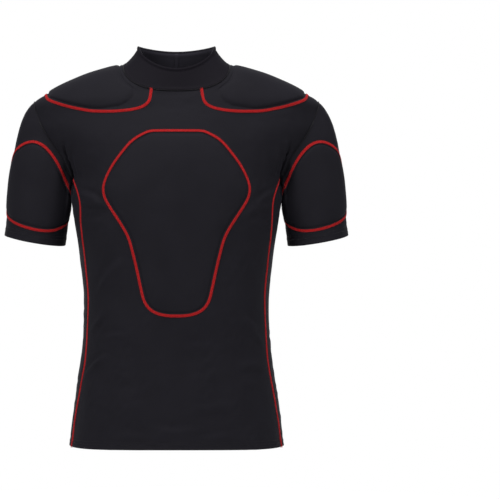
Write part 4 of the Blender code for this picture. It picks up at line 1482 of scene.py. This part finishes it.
# A needle line runs this far each way from a stitch's middle, in stitch lengths,
# and a looper thread this far. The looper arches higher. All start in the band.
NEEDLE_REACH, NEEDLE_PIECES, NEEDLE_ARCH = 0.56, 2, 1.0
LOOPER_REACH, LOOPER_PIECES, LOOPER_ARCH = 0.62, 3, 2.3
THREAD_SINK = -0.45
THREAD_SIDES = 4


def stitch_tree(name, needles, crossing):
    """A tree that lays stitches along a guide line."""
    tree = bpy.data.node_groups.new(name, "GeometryNodeTree")
    add_sockets(tree, "INPUT", "Geometry", ["Guide"])
    add_sockets(tree, "INPUT", "Float", ["Stitch length", "Band width", "Thread", "Arch"])
    add_sockets(tree, "INPUT", "Material", ["Thread material"])
    add_sockets(tree, "OUTPUT", "Geometry", ["Stitches"])
    given = node(tree, "NodeGroupInput").outputs
    guide, pitch, width, thick, arch, material = list(given)[:6]
    section = node(tree, "GeometryNodeCurvePrimitiveCircle", {
        "Resolution": THREAD_SIDES, "Radius": times(tree, thick, 0.5)}, mode="RADIUS")
    joined = node(tree, "GeometryNodeJoinGeometry")
    rows = [(NEEDLE_REACH, k, k, NEEDLE_PIECES, NEEDLE_ARCH) for k in needles]
    rows += [(LOOPER_REACH, -0.5 * k, 0.5 * k, LOOPER_PIECES, LOOPER_ARCH) for k in crossing]
    low = times(tree, thick, THREAD_SINK)
    for reach, y0, y1, pieces, lift in rows:
        spots = {"Start": (times(tree, pitch, -reach), times(tree, width, y0), low),
                 "End": (times(tree, pitch, reach), times(tree, width, y1), low),
                 "Middle": (0.0, times(tree, width, 0.5 * (y0 + y1)), times(tree, arch, lift))}
        ends = {key: node(tree, "ShaderNodeCombineXYZ", dict(enumerate(spot))).outputs[0]
                for key, spot in spots.items()}
        curve = node(tree, "GeometryNodeCurveQuadraticBezier", {"Resolution": pieces, **ends})
        tube = node(tree, "GeometryNodeCurveToMesh", {
            "Fill Caps": True, "Curve": curve.outputs[0], "Profile Curve": section.outputs[0]})
        feed(tree, joined, {0: tube.outputs[0]})
    path = node(tree, "GeometryNodeMeshToCurve", {"Mesh": guide})
    spaced = node(tree, "GeometryNodeResampleCurve", {"Curve": path.outputs[0]}, mode="LENGTH")
    feed(tree, spaced, {"Length": pitch})
    up = node(tree, "GeometryNodeInputNamedAttribute", {"Name": "up"}, data_type="FLOAT_VECTOR")
    tangent = node(tree, "GeometryNodeInputTangent")
    turn = node(tree, "FunctionNodeAxesToRotation", {0: up.outputs[0], 1: tangent.outputs[0]},
                primary_axis="Z", secondary_axis="X")
    placed = node(tree, "GeometryNodeInstanceOnPoints", {
        "Points": spaced.outputs[0], "Instance": joined.outputs[0], "Rotation": turn.outputs[0]})
    real = node(tree, "GeometryNodeRealizeInstances", {0: placed.outputs[0]})
    shade = node(tree, "GeometryNodeSetShadeSmooth", {0: real.outputs[0]})
    paint = node(tree, "GeometryNodeSetMaterial", {
        "Geometry": shade.outputs[0], "Material": material})
    node(tree, "NodeGroupOutput", {0: paint.outputs[0]})
    return tree


FLATLOCK = stitch_tree("flatlock_stitch", (-0.46, 0.0, 0.46), (1.0, -1.0))
COVER = stitch_tree("cover_stitch", (-0.5, 0.5), ())


def stitches(name, middle, up, closed, tree, sizes, look):
    """Stitches along a guide line, as a plain mesh."""
    count = len(middle)
    mesh = bpy.data.meshes.new(name)
    edges = [(k, k + 1) for k in range(count - 1)] + ([(count - 1, 0)] if closed else [])
    mesh.from_pydata((middle * METRES).tolist(), edges, [])
    kept = mesh.attributes.new("up", "FLOAT_VECTOR", "POINT")
    kept.data.foreach_set("vector", up.ravel())
    piece = add_object(name, mesh)
    rule = piece.modifiers.new("stitches", "NODES")
    rule.node_group = tree
    inputs = {item.name: item.identifier for item in tree.interface.items_tree
              if item.in_out == "INPUT"}
    for label, value in sizes.items():
        rule[inputs[label]] = value * METRES
    rule[inputs["Thread material"]] = look
    settle(piece)
    return piece

# %% [markdown]
# ## Knit, thread and foam skin
#
# The cloth is a fine warp knit of nylon and elastane: almost black, smooth, with
# a faint grain along its wales and a soft sheen where it turns away. The knit is
# worked out from the UV map in metres, so a wale is 0.6 mm everywhere. One node
# group gives the grain and the slow unevenness to every cloth and pad.

# %% The knit's node group
# The knit's sizes in metres, and how strong its parts are
KNIT_SIZES = {"Wale": 0.0006, "Course": 0.00042, "Rough": 0.5, "Uneven": 0.06}
KNIT_RELIEF = 0.00008
ZIGZAG, WALE_SHARE, LOOP_SHARE, GRAIN_SHADE = 1.6, 0.3, 0.2, 0.12
CLOUD_SCALE, CLOUD_DETAIL, CLOUD_SHADE, CLOUD_ROUGH = 26.0, 3.0, 6.0, 0.25


def knit_group():
    """Grain and unevenness of a warp knit: a height, a shade and a roughness."""
    group = bpy.data.node_groups.new("warp_knit", "ShaderNodeTree")
    for socket in add_sockets(group, "INPUT", "Float", KNIT_SIZES):
        socket.default_value = KNIT_SIZES[socket.name]
    add_sockets(group, "OUTPUT", "Float", ["Height", "Shade", "Roughness"])
    given = node(group, "NodeGroupInput").outputs
    place = node(group, "ShaderNodeUVMap", uv_map="cut")
    parts = node(group, "ShaderNodeSeparateXYZ", {0: place.outputs[0]}).outputs
    across, up = [times(group, calc(group, "DIVIDE", part, given[size]), 2.0 * math.pi)
                  for part, size in zip(parts, ("Wale", "Course"))]
    wale = calc(group, "COSINE", across)
    zigzag = times(group, calc(group, "SINE", across), ZIGZAG)
    loop = calc(group, "SINE", calc(group, "ADD", up, zigzag))
    grain = calc(group, "ADD", times(group, wale, WALE_SHARE), times(group, loop, LOOP_SHARE))
    body = node(group, "ShaderNodeTexCoord")
    cloud = node(group, "ShaderNodeTexNoise", {
        "Scale": CLOUD_SCALE, "Detail": CLOUD_DETAIL, "Vector": body.outputs["Object"]})
    drift = calc(group, "SUBTRACT", cloud.outputs["Fac"], 0.5)
    shade = times(group, drift, times(group, given["Uneven"], CLOUD_SHADE))
    shade = calc(group, "ADD", calc(group, "ADD", 1.0, shade), times(group, grain, GRAIN_SHADE))
    node(group, "NodeGroupOutput", {
        "Height": calc(group, "ADD", grain, 0.5), "Shade": shade,
        "Roughness": calc(group, "ADD", given["Rough"], times(group, drift, CLOUD_ROUGH))})
    return group


KNIT = knit_group()


def new_look(name):
    """A new material, with its node tree and its shader."""
    look = bpy.data.materials.new(name)
    look.use_nodes = True
    return look, look.node_tree, look.node_tree.nodes["Principled BSDF"]


def cloth_look(name, colour, rough, bump, sheen):
    """A dark stretch-knit material."""
    look, tree, shader = new_look(name)
    grain = node(tree, "ShaderNodeGroup", {"Rough": rough}, node_tree=KNIT).outputs
    level = node(tree, "ShaderNodeCombineColor", {k: grain["Shade"] for k in range(3)})
    tint = node(tree, "ShaderNodeMix", data_type="RGBA", blend_type="MULTIPLY")
    feed(tree, tint, {"Factor": 1.0, "A": (*colour, 1.0), "B": level.outputs[0]})
    raised = node(tree, "ShaderNodeBump", {
        "Strength": bump, "Distance": KNIT_RELIEF, "Height": grain["Height"]})
    feed(tree, shader, {
        "Base Color": tint.outputs["Result"], "Roughness": grain["Roughness"],
        "Normal": raised.outputs[0], "Specular IOR Level": 0.012, "Sheen Weight": sheen,
        "Sheen Roughness": 0.45, "Sheen Tint": (0.75, 0.78, 1.0, 1.0)})
    return look


PLY_RELIEF, PLY_BUMP, PLY_WANDER, PLY_SHADE = 0.00006, 0.4, 1.5, 0.72


def thread_look(name, colour, rough, ply):
    """A spun thread: its plies show as fine slanting lines."""
    look, tree, shader = new_look(name)
    place = node(tree, "ShaderNodeTexCoord")
    plies = node(tree, "ShaderNodeTexWave", {
        "Scale": ply, "Distortion": PLY_WANDER, "Vector": place.outputs["Object"]},
        wave_type="BANDS", bands_direction="DIAGONAL").outputs["Fac"]
    tint = node(tree, "ShaderNodeMix", data_type="RGBA", blend_type="MIX")
    feed(tree, tint, {"Factor": plies, "A": (*[PLY_SHADE * k for k in colour], 1.0),
                      "B": (*colour, 1.0)})
    raised = node(tree, "ShaderNodeBump", {
        "Strength": PLY_BUMP, "Distance": PLY_RELIEF, "Height": plies})
    feed(tree, shader, {
        "Base Color": tint.outputs["Result"], "Roughness": rough, "Normal": raised.outputs[0],
        "Specular IOR Level": 0.02, "Sheen Weight": 0.03})
    return look


CLOTH_COLOUR = (0.0034, 0.0032, 0.0042)
knit = cloth_look("stretch_knit", CLOTH_COLOUR, 0.62, 0.35, 0.007)
pad_knit = cloth_look("pad_knit", (0.0035, 0.0033, 0.0043), 0.62, 0.35, 0.007)
collar_knit = cloth_look("collar_knit", (0.0021, 0.0018, 0.0026), 0.64, 0.45, 0.005)
# The inside copies of the knit are painted lighter than the outer cloth: painted light on the
# inner faces and in the collar's hollow, where the lamps reach little.
knit_inside = cloth_look("knit_inside", (0.0048, 0.0045, 0.0058), 0.75, 0.35, 0.01)
collar_inside = cloth_look("collar_inside", (0.0100, 0.0094, 0.0122), 0.75, 0.45, 0.01)
red_thread = thread_look("red_thread", (0.165, 0.0034, 0.0042), 0.6, 900.0)
red_band = thread_look("red_band", (0.11, 0.0022, 0.0026), 0.7, 700.0)
black_thread = thread_look("black_thread", (0.0022, 0.0020, 0.0026), 0.5, 900.0)
for name, piece in shirt.items():
    piece.data.materials[0] = collar_knit if name == "collar" else knit
    piece.data.materials[1] = collar_inside if name == "collar" else knit_inside
for piece in pads.values():
    piece.data.materials.clear()
    piece.data.materials.append(pad_knit)

# %% Sewing the red and black seams
RED_STITCH = {"Stitch length": 2.7, "Band width": 4.2, "Thread": 0.44, "Arch": 0.26}
BLACK_STITCH = {"Stitch length": 3.6, "Band width": 2.2, "Thread": 0.3, "Arch": 0.1}
HEM_STITCH = {"Stitch length": 2.7, "Band width": 5.0, "Thread": 0.42, "Arch": 0.3}
SIDE_STITCH = dict(RED_STITCH, **{"Band width": 3.2})
BACK_STITCH = dict(BLACK_STITCH, **{"Band width": 8.0})
sewing = []
for name, (piece, middle, up, closed) in bands.items():
    black = name not in red_lines
    rule, sizes = FLATLOCK, BLACK_STITCH if black else RED_STITCH
    piece.data.materials.append(black_thread if black else red_band)
    if name.startswith("side"):
        sizes = SIDE_STITCH
    if name == "collar_back":
        rule, sizes = COVER, BACK_STITCH
        # The band inside the collar's back takes the collar's lighter inside copy, which is
        # painted light.
        piece.data.materials[0] = collar_inside
    threads = stitches(name + "_threads", middle, up, closed, rule, sizes,
                       black_thread if black else red_thread)
    sewing += [piece, threads]
    print(threads.name, len(threads.data.polygons), "faces")

# %% Hem and cuff stitching
STITCH_INSET = 3.0
STITCH_LIFT = 0.12


def line_above_edge(grid, high):
    """The line on a grid at a given height above its first row."""
    height = travelled(grid)
    return np.array([[np.interp(high, height[:, c], grid[:, c, k]) for k in range(3)]
                     for c in range(grid.shape[1])])


hem_parts = [line_above_edge(cloth[part][0], HEM_FOLD - STITCH_INSET)[:-1]
             for part in ("front_panel", "side_panel_left", "back_panel", "side_panel_right")]
fold_lines = {"hem": np.concatenate(hem_parts)}
for name in ("left", "right"):
    sleeve = cloth["sleeve_" + name][0]
    fold_lines["cuff_" + name] = line_above_edge(sleeve, CUFF_FOLD - STITCH_INSET)
for name, line in fold_lines.items():
    line = even_line(line, SEAM_STEP, True, 1)
    out = line_frame(line, True)[1]
    threads = stitches(name + "_stitching", line + out * STITCH_LIFT, out, True, COVER,
                       HEM_STITCH, black_thread)
    sewing.append(threads)
    print(threads.name, len(threads.data.polygons), "faces")

# %% [markdown]
# ## The pieces in place
#
# Compression cloth is cut smaller than the body and stretches when it is worn.
# Each cloth piece, pad and seam hangs under one root, and the imported solids
# that the cloth and pads stand for are hidden.


for node_name, piece in shirt.items():
    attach(piece, "root")
    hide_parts(node_name)
for node_name, piece in pads.items():
    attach(piece, "root")
    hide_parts(node_name)
for piece in sewing:
    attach(piece, "root")

# %% [markdown]
# ## Floor, light and camera
#
# A plain pale disc lies well under the shirt, three soft lights stand in front of
# it and above it, and an even white world fills the rest. A wall behind the shirt
# would stand in the way when it is looked at from behind, so there is none.

# %% Floor and light
FLOOR_RADIUS, FLOOR_Z, FLOOR_SEGMENTS = 1.6, -0.9, 96


def add_floor():
    """A plain pale floor well under the shirt."""
    mesh = bpy.data.meshes.new("floor")
    disc = bmesh.new()
    bmesh.ops.create_circle(disc, cap_ends=True, segments=FLOOR_SEGMENTS, radius=FLOOR_RADIUS)
    disc.to_mesh(mesh)
    disc.free()
    floor = add_object("floor", mesh)
    floor.location.z = FLOOR_Z
    look, tree, shader = new_look("pale_floor")
    feed(tree, shader, {"Base Color": (0.9, 0.9, 0.9, 1.0), "Roughness": 0.9})
    mesh.materials.append(look)


def add_light(name, place, aim, size, power):
    """A large soft area light."""
    data = bpy.data.lights.new(name, "AREA")
    data.shape = "RECTANGLE"
    data.size, data.size_y = size
    data.energy = power
    light = add_object(name, data)
    light.location = place
    light.rotation_euler = (Vector(aim) - Vector(place)).to_track_quat("-Z", "Y").to_euler()


add_floor()
add_light("front_left_softbox", (-1.6, -2.2, 1.5), (0.0, 0.0, -0.2), (1.4, 1.6), 155)
add_light("front_right_softbox", (1.8, -2.1, 1.2), (0.0, 0.0, -0.2), (1.2, 1.6), 82)
add_light("top_softbox", (0.0, -0.7, 1.9), (0.0, 0.0, -0.15), (1.8, 1.2), 120)
world = bpy.data.worlds.new("studio")
world.use_nodes = True
feed(world.node_tree, world.node_tree.nodes["Background"], {
    "Color": (1.0, 1.0, 1.0, 1.0), "Strength": 1.0})
bpy.context.scene.world = world
bpy.context.scene.view_settings.view_transform = "Standard"

# %% Camera
# The camera stands level in front of the shirt. It is shifted, not turned, to
# place the shirt where the photograph has it.
CAMERA_AWAY = 3.0
SHOWN_WIDTH = 0.82

camera = bpy.data.cameras.new("camera")
camera.sensor_width = 36.0
camera.lens = camera.sensor_width * CAMERA_AWAY / SHOWN_WIDTH
camera.shift_x, camera.shift_y = 0.147, -0.033
view = add_object("camera", camera)
view.location = (0.0, -CAMERA_AWAY, -0.26)
view.rotation_euler.x = math.radians(90)
bpy.context.scene.camera = view
